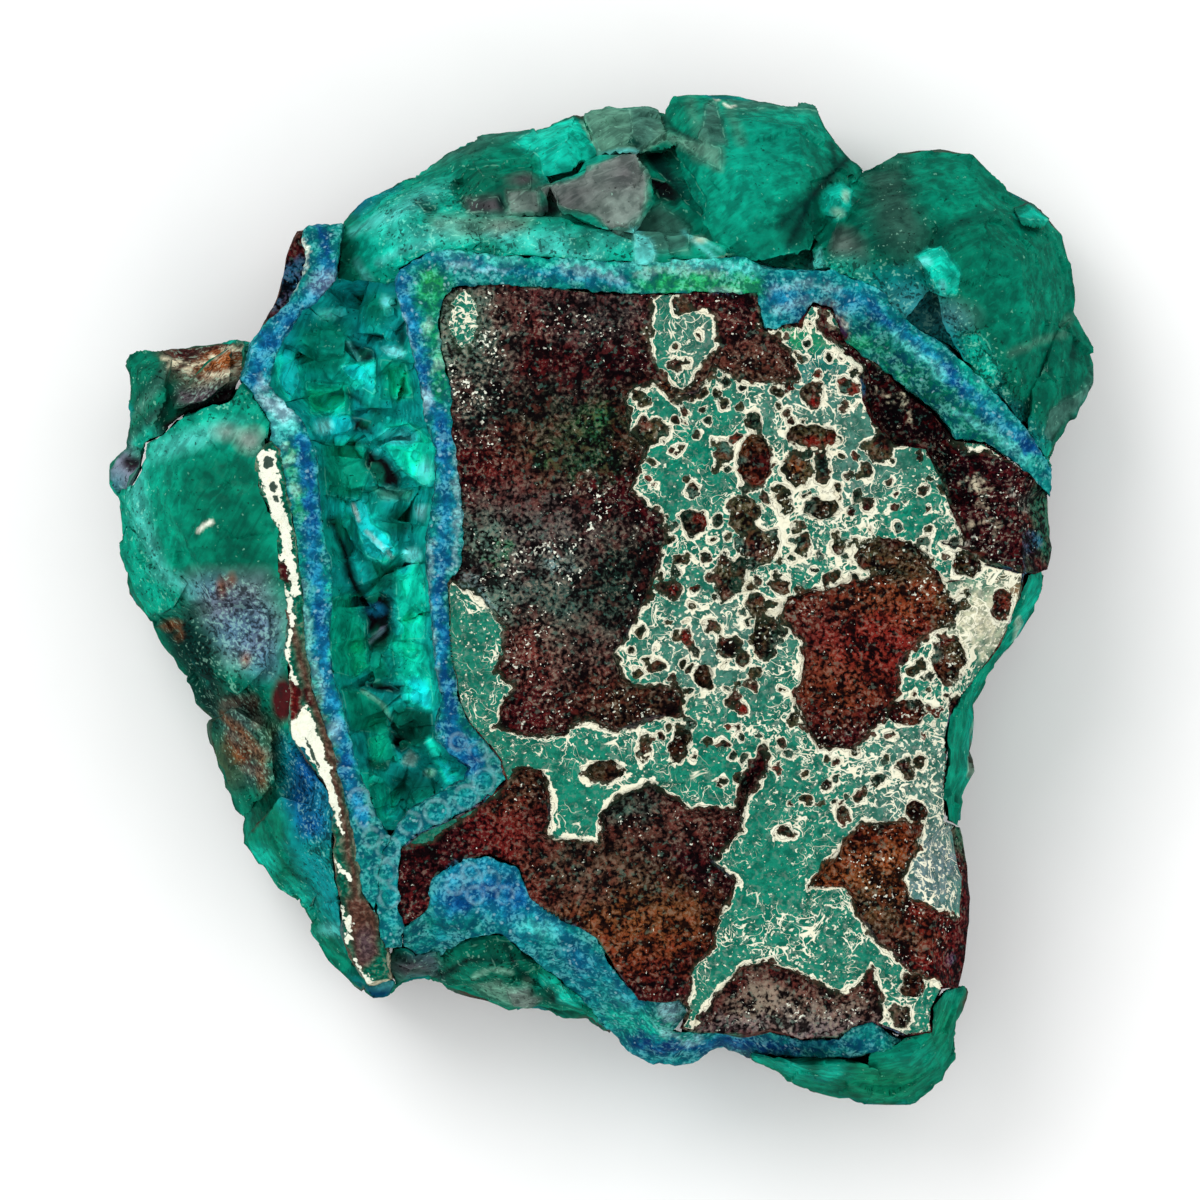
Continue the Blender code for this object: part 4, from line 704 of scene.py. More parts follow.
# Colours of the green skin.
SKIN_PAINTS = [
    ("lace_grey", 0.7, 2.0, spot(850, 470, 50, 40), spot(830, 400, 70, 30), spot(720, 640, 60, 50)),
    ("lace_grey", 0.7, 1.6, spot(920, 800, 60, 70), spot(950, 860, 30, 50), spot(700, 335, 20, 30)),
    ("green", 0.8, 1.0, spot(725, 412, 16, 22), spot(898, 520, 26, 20), spot(690, 455, 44, 20)),
    ("green", 0.6, 1.6, spot(770, 880, 40, 70), spot(720, 765, 34, 26), spot(578, 790, 20, 40)),
    ("lace_green", 0.7, 1.6, spot(820, 930, 60, 40), spot(700, 560, 30, 50), spot(775, 790, 30, 60)),
    ("teal", 0.6, 1.4, spot(800, 350, 34, 22), spot(772, 335, 20, 16), spot(820, 376, 24, 14)),
    ("lime", 0.7, 0.8, spot(797, 336, 20, 10), spot(845, 345, 14, 12)),
    ("lilac", 0.5, 1.0, spot(945, 870, 22, 34), spot(905, 885, 20, 16), spot(950, 930, 18, 20)),
    ("green", 0.7, 1.0, area((985, 720), (1010, 700), (1020, 800), (975, 1060), (930, 1060), (955, 900))),
    ("cream", 0.8, 0.8, spot(990, 610, 36, 26), spot(975, 635, 20, 18)),
    ("rust", 0.8, 0.4, streak(12, (1000, 570), (1026, 574), (1016, 600))),
]
# How much white there is in the skin, from 0 to 1.
FROST_PAINTS = [
    (0.95, 0.9, 1.5, spot(825, 535, 70, 50), spot(850, 600, 60, 18), spot(745, 395, 60, 14)),
    (0.9, 0.9, 1.5, spot(975, 620, 46, 60), spot(935, 690, 50, 60), spot(960, 545, 36, 30)),
    (0.8, 0.9, 1.5, spot(880, 770, 90, 55), spot(800, 930, 60, 34), spot(690, 720, 90, 22)),
    (0.75, 0.9, 1.5, spot(700, 600, 40, 50), spot(580, 730, 40, 20), spot(740, 600, 60, 40)),
    (0.95, 0.9, 1.2, spot(945, 865, 26, 50), spot(905, 890, 16, 20), spot(930, 760, 30, 40)),
    (0.4, 0.9, 1.2, spot(684, 340, 36, 50), spot(640, 405, 20, 24), spot(463, 318, 16, 28)),
    (0.7, 0.9, 1.2, spot(920, 1000, 50, 40)),
    (0.15, 0.8, 1.2, spot(725, 412, 14, 18), spot(898, 520, 24, 16), spot(770, 860, 24, 60)),
    # Flecks on the bare rock: pale grains and white specks painted as glints.
    (0.15, 0.9, 0.6, area((500, 290), (630, 290), (630, 480), (600, 640), (500, 560), (500, 430))),
    (0.15, 0.9, 0.8, area((385, 840), (500, 790), (560, 840), (700, 850), (690, 1000), (500, 930))),
    (0.2, 0.9, 0.8, spot(860, 650, 60, 60), spot(900, 420, 50, 60, -30)),
    (1.0, 0.9, 0.8, spot(472, 360, 34, 70), spot(540, 560, 50, 30), spot(590, 500, 20, 30),
         spot(800, 1020, 60, 16)),
    (0.7, 0.9, 0.8, spot(530, 660, 30, 50), spot(1000, 520, 40, 40), spot(880, 870, 40, 30),
         spot(570, 330, 50, 30)),
    (0.1, 0.9, 1.2, spot(720, 765, 26, 20), spot(578, 790, 16, 34), spot(715, 455, 14, 14)),
]
PLAIN_FROST = 0.42
# Width of the white line round the hollows and cells, as a share of the widest.
LINE_PAINTS = [
    (0.12, 1.0, 1.0, area((400, 200), (630, 200), (628, 560), (600, 700), (480, 690), (460, 760),
         (400, 760))),
    (0.05, 1.0, 0.8, area((380, 780), (500, 740), (545, 760), (548, 850), (600, 1060), (380, 1000))),
    (1.0, 1.0, 0.8, streak(14, (675, 1040), (720, 1000), (760, 960), (800, 957), (850, 985), (870, 970))),
    (1.0, 1.0, 0.6, spot(575, 835, 34, 10), spot(556, 800, 8, 40), spot(600, 780, 40, 14)),
    (0.9, 1.0, 0.8, spot(470, 620, 20, 40), spot(825, 535, 70, 50), spot(810, 430, 40, 36)),
]
PLAIN_LINE = 0.62
# Clouds of colour on the broken walls below the face.
WALL_CLOUDS = [
    (2.5, 9, 0.0, 0.4, 0.7, "brown"),
    (3.5, 10, 0.15, 0.4, 0.8, "emerald"),
    (1.8, 19, 0.4, 0.6, 0.7, "blue"),
]
# The face is cut finely above the first height. It fades in between two others and between two slopes.
FACE_LEVEL = 18.5
FACE_FADE = (18.0, 20.0)
FACE_UPWARD = (0.1, 0.5)
FACE_FINE = 0.26
HOST_COARSE = 0.9
# Relief of the face and of the walls.
RIM_HEIGHT = 0.09
RIM_WIDTH = 0.14
CELL_DEPTH = 0.28
CELL_SLOPE = 0.25
COARSE_GRAIN = 0.07
FINE_GRAIN = 0.05
ROCK_GRAIN = 1.5
SKIN_GRAIN = 0.6
WALL_ROUGHNESS = 0.35


def host_values(points):
    """Signed distance to the bare rock, white-line width, frost and the two layers of colour."""
    plan = points[:, :2]
    ragged = bend(plan, RAGGED)
    hollow = nearest_of(HOLLOWS, ragged)
    lace = np.minimum(np.maximum(hollow, -nearest_of(ISLANDS, ragged)), nearest_of(CELLS, ragged))
    frost = paint(np.full(len(plan), PLAIN_FROST), plan, FROST_PAINTS)
    near, owner, _ = cells(ragged, CELL_SPACING, seed=31)
    wide = CELL_WIDTH + CELL_WIDTH_RANGE * random_of(owner, seed=77)
    few = random_of(owner, seed=78) < CELL_SHARE + CELL_SHARE_FROST * frost
    small = np.where(few & (MOTTLED(plan) < 0.0), (near - wide) * CELL_SHRINK, NO_EDGE)
    lace = np.minimum(lace, small)
    line = paint(np.full(len(plan), PLAIN_LINE), plan, LINE_PAINTS)
    scattered = bend(plan, SCATTERED)
    rock = paint(flood(len(plan), "maroon"), scattered, [("olive", 0.7, 0.4, *CELLS)] + ROCK_PAINTS)
    kinds = np.stack([PAINTS[name] for name in CELL_COLOURS])
    kind = kinds[(random_of(owner, seed=79) * len(kinds)).astype(int)]
    blend(rock, CELL_TINT * smooth(-small, -0.4, -0.1) * smooth(hollow, -0.1, 0.2), kind)
    skin = paint(flood(len(plan), "lace_green"), scattered, SKIN_PAINTS)
    return lace, line, frost, rock, skin


def make_host():
    points, faces, normals = surface_of("host_rock", FACE_LEVEL, FACE_FINE, HOST_COARSE, HOST_COARSE)
    lace, line, frost, rock, skin = host_values(points)
    face = smooth(points[:, 2], *FACE_FADE) * smooth(normals[:, 2], *FACE_UPWARD)
    sunk = np.clip(-lace / CELL_SLOPE, 0.0, 1.0) * (nearest_of(HOLLOWS, points[:, :2]) > 0.0)
    rim = np.exp(-(lace / RIM_WIDTH) ** 2) * line
    grain = rough(points, size=0.9, seed=3) * COARSE_GRAIN + waves(points, size=0.33, seed=4) * FINE_GRAIN
    lift = face * (RIM_HEIGHT * rim - CELL_DEPTH * sunk + grain * np.where(lace < 0, ROCK_GRAIN, SKIN_GRAIN))
    lift += (1.0 - face) * WALL_ROUGHNESS * rough(points, size=3.0, seed=6)
    points = pushed(points, normals, lift)
    blend(rock, 1.0 - face, clouds(flood(len(points), "maroon"), points, WALL_CLOUDS))
    values = {"lace": np.where(face > 0.5, lace, -1.0), "line": line * face, "frost": frost * face}
    colours = {"rock": rock, "skin": skin}
    make_piece("host_rock", (points, faces), values, colours, host_material())


def host_material():
    s = Shader("host_rock_look")
    jag = s.minus(s.noise(0.42), 0.5)
    lace = s.times_plus(jag, 0.55, s.value("lace"))
    frost = s.value("frost")
    on_skin = s.step(lace, -0.02, 0.03)
    # White: the rim of each hollow and cell, wavering veins, and flecks.
    width = s.times(s.times(s.value("line"), s.step(s.noise(0.9), 0.25, 0.8)), 0.34)
    rim = s.line(s.beside(lace, 0.04), width, 0.05)
    thin = s.times(frost, s.step(s.noise(1.5, 2.0), 0.35, 0.75))
    veins = s.line(s.vein(1.5, 0.9), s.times(thin, 0.065), 0.014)
    threads = s.line(s.vein(0.7, 0.5), s.times(thin, 0.055), 0.02)
    fleck_level = s.times_plus(frost, -0.15, 0.7)
    fleck = s.step(s.waver(0.24), fleck_level, s.math("ADD", fleck_level, 0.05))
    inner = s.math("MAXIMUM", s.math("MAXIMUM", veins, threads), s.times(fleck, 0.85))
    white = s.math("MAXIMUM", rim, s.times(inner, on_skin))
    # Green skin: clouded, with grey webs and small dark pits.
    skin_tint = s.colour("skin")
    skin = s.mix(s.drop(s.noise(0.6), 0.38, 0.58), skin_tint, s.mix(0.6, skin_tint, "deep"))
    haze = s.times(s.step(s.waver(0.26), 0.5, 0.66), s.times_plus(frost, 0.6, 0.15))
    skin = s.mix(haze, skin, s.mix(0.7, skin_tint, "grey"))
    skin = s.lay(skin, s.step(s.noise(0.3, 2.0), 0.6, 0.68), 0.6, s.mix(0.7, skin_tint, "dark"))
    # Brown rock: near black between coloured and pale grains, with white specks painted as glints.
    tint = s.colour("rock")
    lump, fine = s.waver(1.1, 3.0), s.waver(0.24)
    grain = s.times_plus(lump, 0.55, s.times(fine, 0.45))
    rock = s.mix(s.step(grain, 0.44, 0.57), s.mix(0.95, tint, "black"), tint)
    rock = s.lay(rock, s.step(s.noise(0.5, 2.0), 0.52, 0.64), 0.4, s.mix(0.4, s.glow(1.0, tint), "red"))
    pale = s.times(s.step(s.waver(0.24), 0.56, 0.62), s.step(lump, 0.44, 0.56))
    pale = s.times(pale, s.times_plus(frost, 0.7, 0.3))
    rock = s.lay(rock, pale, 0.85, s.mix(0.75, tint, "beige"))
    rock = s.lay(rock, s.step(s.noise(0.36, 2.0), 0.6, 0.68), 0.6, s.mix(0.6, tint, "grey_green"))
    rock = s.lay(rock, s.drop(fine, 0.36, 0.49), 0.85, "black")
    # Painted glints: white specks, more of them where the frost is high.
    glint_level = s.times_plus(frost, -0.16, 0.73)
    glint = s.step(s.minus(s.noise(0.22, 2.0), glint_level), 0.0, 0.05)
    rock = s.lay(rock, s.times(glint, s.step(s.noise(1.6, 2.0), 0.42, 0.6)), 0.9, "white")
    # Olive and deep green just inside each hollow's edge: partly the rock's own colour there and partly
    # painted shade under the skin's edge.
    rock = s.lay(rock, s.step(lace, -0.4, 0.0), 0.5, s.mix(0.5, "olive", "deep"))
    base = s.mix(white, s.mix(on_skin, rock, skin), s.mix(s.noise(0.5), "white", "cream"))
    height = s.times_plus(on_skin, 0.7, s.times(s.noise(0.28, 1.0), 1.3))
    shine = s.times_plus(lump, 0.5, 0.35)
    return s.finish(base, shine, s.bump(height, 0.16), Specular_IOR_Level=0.01)


# ---- Dioptase crystals ----

# Colours of the crystal groups, drawn patch by patch. Besides the crystals' own colours, they hold painted
# light and shade: facets painted brighter or darker as the light falls on them, painted shade in the dark and
# black gaps between crystals, painted highlights in the thin cyan, mint and white streaks along edges, and
# painted reflections in the pale sage facets.
TOP_PAINTS = [
    # Left shoulder and the band above the blue crust.
    ("turquoise", 0.8, 1.0, area((372, 190), (470, 170), (500, 215), (620, 225), (640, 270), (400, 290),
         (360, 240))),
    ("bright", 0.7, 0.8, spot(385, 235, 26, 34), spot(440, 228, 40, 12), spot(560, 246, 60, 9)),
    ("cyan", 0.7, 0.35, streak(4, (352, 232), (372, 222), (396, 214)), streak(3, (380, 262), (402, 250),
         (430, 244)), streak(3, (440, 222), (470, 228), (510, 236)), streak(3, (356, 262), (368, 280)),
         streak(3, (540, 250), (600, 256))),
    ("grey_green", 0.8, 0.5, area((412, 168), (440, 145), (480, 130), (545, 120), (548, 130), (500, 140),
         (440, 165))),
    ("deep", 0.7, 0.6, spot(478, 148, 16, 7, 15), spot(425, 200, 12, 6)),
    ("navy", 0.7, 0.4, streak(12, (356, 208), (372, 194), (392, 182))),
    ("green", 0.8, 0.4, area((440, 168), (512, 142), (539, 156), (543, 180), (532, 166), (491, 163),
         (460, 168))),
    ("sage", 0.8, 0.4, area((429, 218), (498, 214), (532, 218), (526, 232), (463, 239), (430, 232))),
    ("taupe", 0.6, 0.3, spot(502, 226, 14, 7)),
    ("cyan", 0.5, 0.6, spot(410, 205, 26, 8, 30), spot(560, 240, 40, 7), spot(420, 235, 20, 5)),
    ("emerald", 0.8, 0.3, area((481, 240), (496, 240), (496, 263), (480, 263)), spot(582, 240, 12, 9)),
    ("deep", 0.9, 0.2, area((414, 200), (436, 206), (436, 214), (424, 212))),
    # Blocks along the top.
    ("bright", 0.75, 0.25, area((512, 142), (532, 127), (577, 109), (584, 114), (598, 152), (567, 177),
         (543, 180), (539, 156))),
    ("turquoise", 0.8, 0.25, area((598, 153), (636, 152), (615, 160), (580, 175), (560, 184), (543, 182),
         (567, 176))),
    ("sage", 0.9, 0.2, area((584, 114), (608, 106), (629, 108), (660, 104), (672, 135), (641, 152),
         (601, 154))),
    ("grey_green", 0.8, 0.25, area((629, 108), (655, 104), (668, 130), (640, 150), (632, 132))),
    ("deep", 0.95, 0.12, area((625, 144), (632, 132), (643, 147))),
    ("mint", 0.8, 0.12, streak(3, (583, 111), (590, 130), (598, 152))),
    ("cyan", 0.9, 0.12, streak(4, (598, 154), (618, 151), (637, 151))),
    ("emerald", 0.95, 0.2, area((450, 183), (463, 212), (498, 212), (529, 190), (532, 166), (491, 163),
         (460, 166))),
    ("mauve", 0.85, 0.3, area((466, 198), (498, 196), (506, 212), (468, 214)), spot(523, 180, 12, 5)),
    ("dark", 0.9, 0.15, spot(500, 203, 5, 7), spot(548, 209, 12, 5)),
    ("taupe", 0.9, 0.2, area((507, 190), (538, 189), (538, 211), (508, 213))),
    ("taupe", 1.0, 0.15, area((539, 187), (581, 173), (615, 158), (636, 152), (646, 177), (648, 198),
         (636, 230), (615, 232), (594, 214), (557, 203))),
    ("mauve", 0.6, 0.8, spot(570, 195, 26, 10, 20), spot(625, 172, 14, 14)),
    ("grey_green", 0.85, 0.3, area((615, 232), (640, 215), (660, 204), (691, 225), (688, 252), (657, 252))),
    ("dark", 1.0, 0.15, area((643, 152), (670, 146), (691, 170), (705, 197), (705, 220), (684, 200),
         (670, 183), (650, 163))),
    ("deep", 0.6, 0.4, spot(672, 162, 14, 10)),
    ("black", 1.0, 0.12, area((646, 175), (670, 183), (684, 197), (676, 205), (658, 200))),
    ("cyan", 0.9, 0.15, area((632, 228), (650, 238), (657, 252), (653, 266), (636, 266))),
    ("cyan", 0.8, 0.15, streak(4, (684, 232), (705, 250), (726, 266)), streak(3, (700, 238), (722, 252))),
    ("cream", 0.8, 0.2, streak(6, (722, 262), (742, 264), (760, 272)), spot(700, 240, 4, 2)),
    # Large crystal at the top.
    ("green", 0.9, 0.5, area((664, 97), (691, 90), (734, 95), (815, 102), (862, 172), (780, 240),
         (720, 256), (694, 200), (668, 150))),
    ("turquoise", 0.5, 2.2, spot(740, 180, 34, 52), spot(790, 130, 26, 22)),
    ("grey_green", 0.9, 0.2, area((705, 104), (716, 96), (728, 142), (701, 142))),
    ("sage", 0.8, 0.3, area((677, 135), (722, 146), (722, 170), (698, 159)), streak(10, (660, 130),
         (700, 148))),
    ("grey_green", 0.8, 0.3, area((726, 94), (781, 96), (815, 104), (819, 113), (774, 104), (735, 110))),
    ("sage", 0.5, 0.4, streak(5, (690, 100), (700, 132), (712, 150)), streak(4, (730, 110), (742, 140))),
    ("white", 0.9, 0.08, streak(2, (713, 94), (719, 98)), streak(2, (725, 102), (732, 106), (736, 104))),
    ("dark", 0.9, 0.12, streak(3, (660, 113), (675, 128), (694, 137))),
    ("deep", 0.75, 0.7, streak(14, (850, 150), (822, 190), (790, 222)), spot(800, 222, 22, 22, 40)),
    ("dark", 0.95, 0.2, streak(6, (851, 153), (820, 187), (806, 205)), streak(4, (834, 140), (836, 160))),
    ("dark", 0.9, 0.2, streak(7, (806, 212), (796, 232), (788, 246)), streak(4, (800, 205), (777, 228))),
    ("bright", 0.95, 0.15, spot(838, 200, 15, 19, -20)),
    ("mint", 0.8, 0.12, spot(838, 212, 7, 4), spot(846, 195, 4, 6)),
    ("deep", 0.85, 0.4, area((826, 222), (862, 222), (866, 274), (828, 270))),
    ("taupe", 0.6, 0.4, spot(845, 245, 12, 16), spot(862, 255, 6, 12)),
    ("cyan", 0.9, 0.15, area((819, 246), (828, 270), (804, 267))),
    ("turquoise", 0.8, 0.6, spot(790, 262, 26, 9), spot(850, 268, 22, 12)),
    # Large crystal on the right.
    ("emerald", 0.75, 0.6, area((862, 170), (905, 151), (964, 150), (1019, 190), (1072, 250), (1098, 360),
         (1060, 450), (1000, 420), (940, 300), (880, 280))),
    ("deep", 0.85, 1.2, area((866, 168), (905, 160), (930, 200), (935, 245), (916, 268), (880, 275),
         (862, 240))),
    ("taupe", 0.12, 0.8, area((872, 174), (905, 152), (912, 162), (880, 184)), spot(900, 215, 22, 40, 20)),
    ("green", 0.8, 0.6, area((905, 153), (964, 151), (1019, 204), (993, 215), (960, 214), (930, 222),
         (916, 200))),
    ("green", 0.5, 1.6, spot(1040, 290, 30, 50), spot(985, 300, 24, 30)),
    ("deep", 0.9, 0.3, streak(6, (995, 213), (968, 218), (950, 224), (941, 245)), streak(5, (996, 354),
         (1002, 398))),
    ("bright", 0.8, 0.3, area((1037, 204), (1052, 219), (1030, 222), (1018, 214))),
    ("bright", 1.0, 0.12, area((916, 256), (930, 247), (943, 248), (952, 259), (961, 274), (955, 295),
         (940, 296), (928, 274))),
    ("cyan", 0.8, 0.12, spot(926, 262, 6, 4), spot(944, 287, 5, 6)),
    ("sage", 0.6, 0.25, streak(4, (1012, 353), (1040, 340), (1064, 334), (1072, 316))),
    ("grey_green", 0.95, 0.2, area((1046, 433), (1052, 409), (1081, 389), (1097, 362), (1098, 395),
         (1078, 415), (1058, 446))),
    ("deep", 0.9, 0.15, spot(1047, 349, 4, 3), spot(1075, 350, 5, 12), spot(1020, 405, 12, 6)),
    ("lilac", 0.5, 0.8, spot(940, 318, 24, 12), spot(905, 300, 14, 8)),
    ("sea", 0.7, 0.8, area((866, 276), (915, 272), (960, 320), (1000, 395), (1046, 440), (1040, 470),
         (960, 400), (900, 330))),
    ("turquoise", 0.9, 0.3, area((960, 335), (985, 332), (998, 360), (994, 388), (970, 380))),
]
BLOCK_PAINTS = [
    ("turquoise", 0.7, 1.4, area((120, 460), (150, 432), (190, 402), (262, 405), (270, 450), (200, 440),
         (160, 470), (150, 560), (180, 610), (130, 600))),
    ("emerald", 0.95, 0.7, area((182, 470), (230, 452), (262, 462), (272, 520), (268, 584), (230, 590),
         (196, 566), (180, 520))),
    ("green", 0.7, 0.7, spot(165, 520, 18, 40), spot(222, 425, 34, 10)),
    ("cyan", 0.6, 0.6, streak(6, (135, 470), (140, 520), (160, 570), (190, 590)),
         spot(190, 440, 26, 6, 20)),
    ("taupe", 0.9, 0.4, spot(250, 440, 13, 11), spot(226, 432, 10, 6)),
    ("white", 1.0, 0.08, streak(4, (198, 531), (204, 525), (211, 522))),
    ("lilac", 0.75, 1.0, area((194, 580), (262, 578), (282, 620), (270, 672), (226, 660), (196, 610))),
    ("blue", 0.5, 0.8, spot(240, 625, 26, 22), spot(262, 655, 14, 20), spot(210, 590, 12, 8)),
    ("mauve", 0.5, 0.8, spot(226, 606, 22, 18), spot(258, 640, 14, 16)),
    ("rust", 0.8, 0.25, spot(222, 588, 5, 8), spot(232, 580, 3, 5), spot(245, 660, 3, 5)),
    ("dark", 0.95, 0.6, area((152, 620), (190, 612), (216, 640), (222, 690), (215, 730), (190, 700),
         (165, 655))),
    ("rust", 0.85, 0.25, spot(170, 624, 7, 4), spot(178, 636, 3, 4), spot(235, 702, 10, 5),
         spot(228, 742, 6, 10)),
    ("dark", 0.75, 0.8, spot(238, 720, 26, 40, 20), spot(245, 775, 20, 30)),
    ("mauve", 0.35, 0.7, spot(238, 720, 18, 20, 20), spot(255, 770, 12, 16)),
    ("beige", 0.7, 0.3, streak(4, (232, 735), (250, 748), (272, 756)), streak(3, (240, 770), (262, 776)),
         spot(228, 705, 4, 3), spot(256, 722, 3, 4)),
    ("rust", 0.8, 0.3, spot(240, 755, 10, 9), spot(262, 782, 4, 10), streak(4, (222, 715), (244, 735),
         (262, 760))),
    ("olive", 0.7, 0.5, spot(220, 765, 14, 26, 20), spot(270, 735, 9, 16)),
    ("brown", 0.8, 0.25, streak(5, (235, 745), (250, 765), (268, 772)), spot(252, 705, 6, 8)),
    ("emerald", 0.9, 0.6, area((236, 798), (262, 790), (290, 830), (312, 890), (345, 945), (330, 950),
         (276, 890))),
    ("bright", 0.7, 0.4, spot(262, 860, 14, 10, -40), spot(300, 900, 16, 8, -50)),
    ("blue", 0.9, 0.8, area((284, 740), (322, 748), (337, 800), (330, 842), (300, 840), (285, 800))),
    ("navy", 0.8, 0.5, spot(306, 770, 14, 20), spot(310, 825, 12, 12), spot(298, 800, 10, 14)),
    ("sea", 0.8, 0.7, area((290, 845), (330, 848), (346, 900), (352, 950), (320, 910))),
    ("maroon", 1.0, 0.2, spot(283, 700, 13, 22)),
    ("navy", 0.85, 0.5, area((352, 975), (402, 975), (398, 1004), (370, 1006))),
    ("emerald", 0.8, 0.5, area((325, 935), (350, 955), (372, 985), (352, 978))),
    ("cyan", 0.6, 0.3, spot(330, 930, 8, 5), spot(385, 985, 12, 4)),
]
KNOB_PAINTS = [
    ("emerald", 0.9, 0.6, area((125, 350), (160, 352), (175, 380), (160, 430), (130, 430), (122, 390))),
    ("grey_green", 0.8, 0.3, streak(8, (130, 415), (150, 392), (166, 370)), streak(6, (128, 440),
         (160, 410))),
    ("dark", 0.8, 0.2, streak(4, (132, 400), (158, 372)), streak(4, (140, 428), (172, 396))),
    ("brown", 0.9, 0.5, area((160, 345), (243, 338), (246, 380), (200, 384), (170, 376))),
    ("maroon", 0.95, 0.3, spot(180, 352, 18, 7), spot(215, 346, 12, 4)),
    ("rust", 0.95, 0.3, spot(222, 360, 18, 11), spot(205, 368, 12, 6)),
    ("cream", 0.9, 0.12, streak(3, (162, 358), (190, 366), (206, 362)), streak(3, (222, 348), (240, 344)),
         streak(3, (205, 372), (222, 376), (240, 362)), spot(186, 372, 5, 3), spot(172, 366, 4, 3),
         spot(232, 372, 3, 2), spot(212, 356, 3, 2)),
    ("beige", 0.5, 0.4, area((180, 378), (236, 374), (236, 386), (200, 392), (182, 388))),
    ("mauve", 0.9, 0.4, area((176, 388), (236, 386), (232, 400), (196, 410), (176, 402))),
    ("plum", 1.0, 0.2, streak(10, (158, 430), (185, 415), (210, 402), (236, 388))),
    ("lilac", 0.8, 0.5, area((102, 449), (126, 440), (141, 460), (139, 502), (118, 500), (104, 480))),
    ("sea", 0.7, 0.5, spot(112, 488, 10, 14)),
    ("plum", 0.95, 0.2, spot(130, 462, 10, 7)),
    ("turquoise", 0.8, 0.4, spot(140, 445, 12, 8), spot(150, 432, 8, 6)),
]
BOTTOM_PAINTS = [
    ("sea", 0.8, 0.8, area((395, 925), (440, 930), (470, 945), (445, 975), (400, 970))),
    ("mauve", 0.85, 0.5, spot(412, 970, 30, 12, -8), spot(436, 958, 12, 6)),
    ("emerald", 0.95, 0.3, area((432, 950), (470, 940), (520, 940), (540, 970), (500, 992), (448, 984))),
    ("green", 0.8, 0.3, area((455, 948), (485, 944), (500, 975), (462, 978))),
    ("dark", 0.9, 0.2, streak(7, (438, 976), (470, 960), (500, 962)), streak(6, (505, 945), (520, 975),
         (548, 990))),
    ("sage", 0.9, 0.2, area((466, 985), (500, 982), (534, 998), (524, 1010), (486, 1000))),
    ("dark", 0.9, 0.25, streak(9, (555, 962), (575, 985), (600, 1005)), spot(560, 1000, 20, 8, -10)),
    ("taupe", 0.8, 0.2, area((508, 992), (528, 988), (540, 1000), (530, 1010), (512, 1006))),
    ("bright", 0.8, 0.2, area((552, 985), (590, 990), (598, 1003), (560, 1003))),
    ("mint", 0.7, 0.15, streak(3, (474, 976), (492, 970), (512, 976)), spot(528, 984, 4, 3)),
    ("bright", 0.8, 0.25, spot(572, 1000, 10, 6), spot(545, 982, 8, 5), spot(603, 1022, 9, 5),
         spot(405, 945, 14, 6)),
    ("emerald", 0.8, 0.5, area((590, 1005), (640, 1030), (650, 1050), (600, 1025))),
    ("navy", 0.8, 0.4, spot(600, 1030, 14, 8), spot(382, 992, 12, 8)),
]
CORNER_PAINTS = [
    ("green", 0.8, 1.0, area((720, 1050), (840, 1056), (940, 1060), (955, 1090), (900, 1110), (800, 1100))),
    ("emerald", 0.9, 0.5, area((790, 1088), (850, 1085), (900, 1108), (850, 1110))),
    ("bright", 0.7, 0.4, spot(790, 1070, 14, 9), spot(836, 1072, 12, 8), spot(750, 1058, 12, 5)),
    ("deep", 0.8, 0.3, streak(7, (860, 1058), (840, 1080), (856, 1100)), spot(812, 1062, 8, 9)),
    ("leaf", 0.4, 0.8, spot(890, 1080, 40, 20), spot(948, 1010, 14, 34)),
    ("emerald", 0.8, 0.5, spot(935, 1095, 20, 12), spot(962, 1040, 8, 20)),
    ("turquoise", 0.6, 0.6, spot(950, 985, 12, 20), spot(905, 1060, 20, 8)),
]
FLANK_PAINTS = [
    ("turquoise", 0.8, 0.8, spot(1040, 600, 12, 24), spot(1020, 650, 14, 20)),
    ("emerald", 0.8, 0.5, spot(1000, 700, 12, 20), spot(972, 760, 10, 40), spot(1048, 575, 8, 10)),
    ("bright", 0.6, 0.4, streak(4, (978, 700), (968, 760), (965, 810)), spot(1030, 630, 6, 14)),
    ("deep", 0.8, 0.3, spot(966, 800, 6, 10), spot(990, 715, 6, 8)),
    ("white", 0.6, 0.2, streak(2, (985, 690), (975, 730), (972, 790)), streak(2, (1010, 650), (1020, 620))),
]
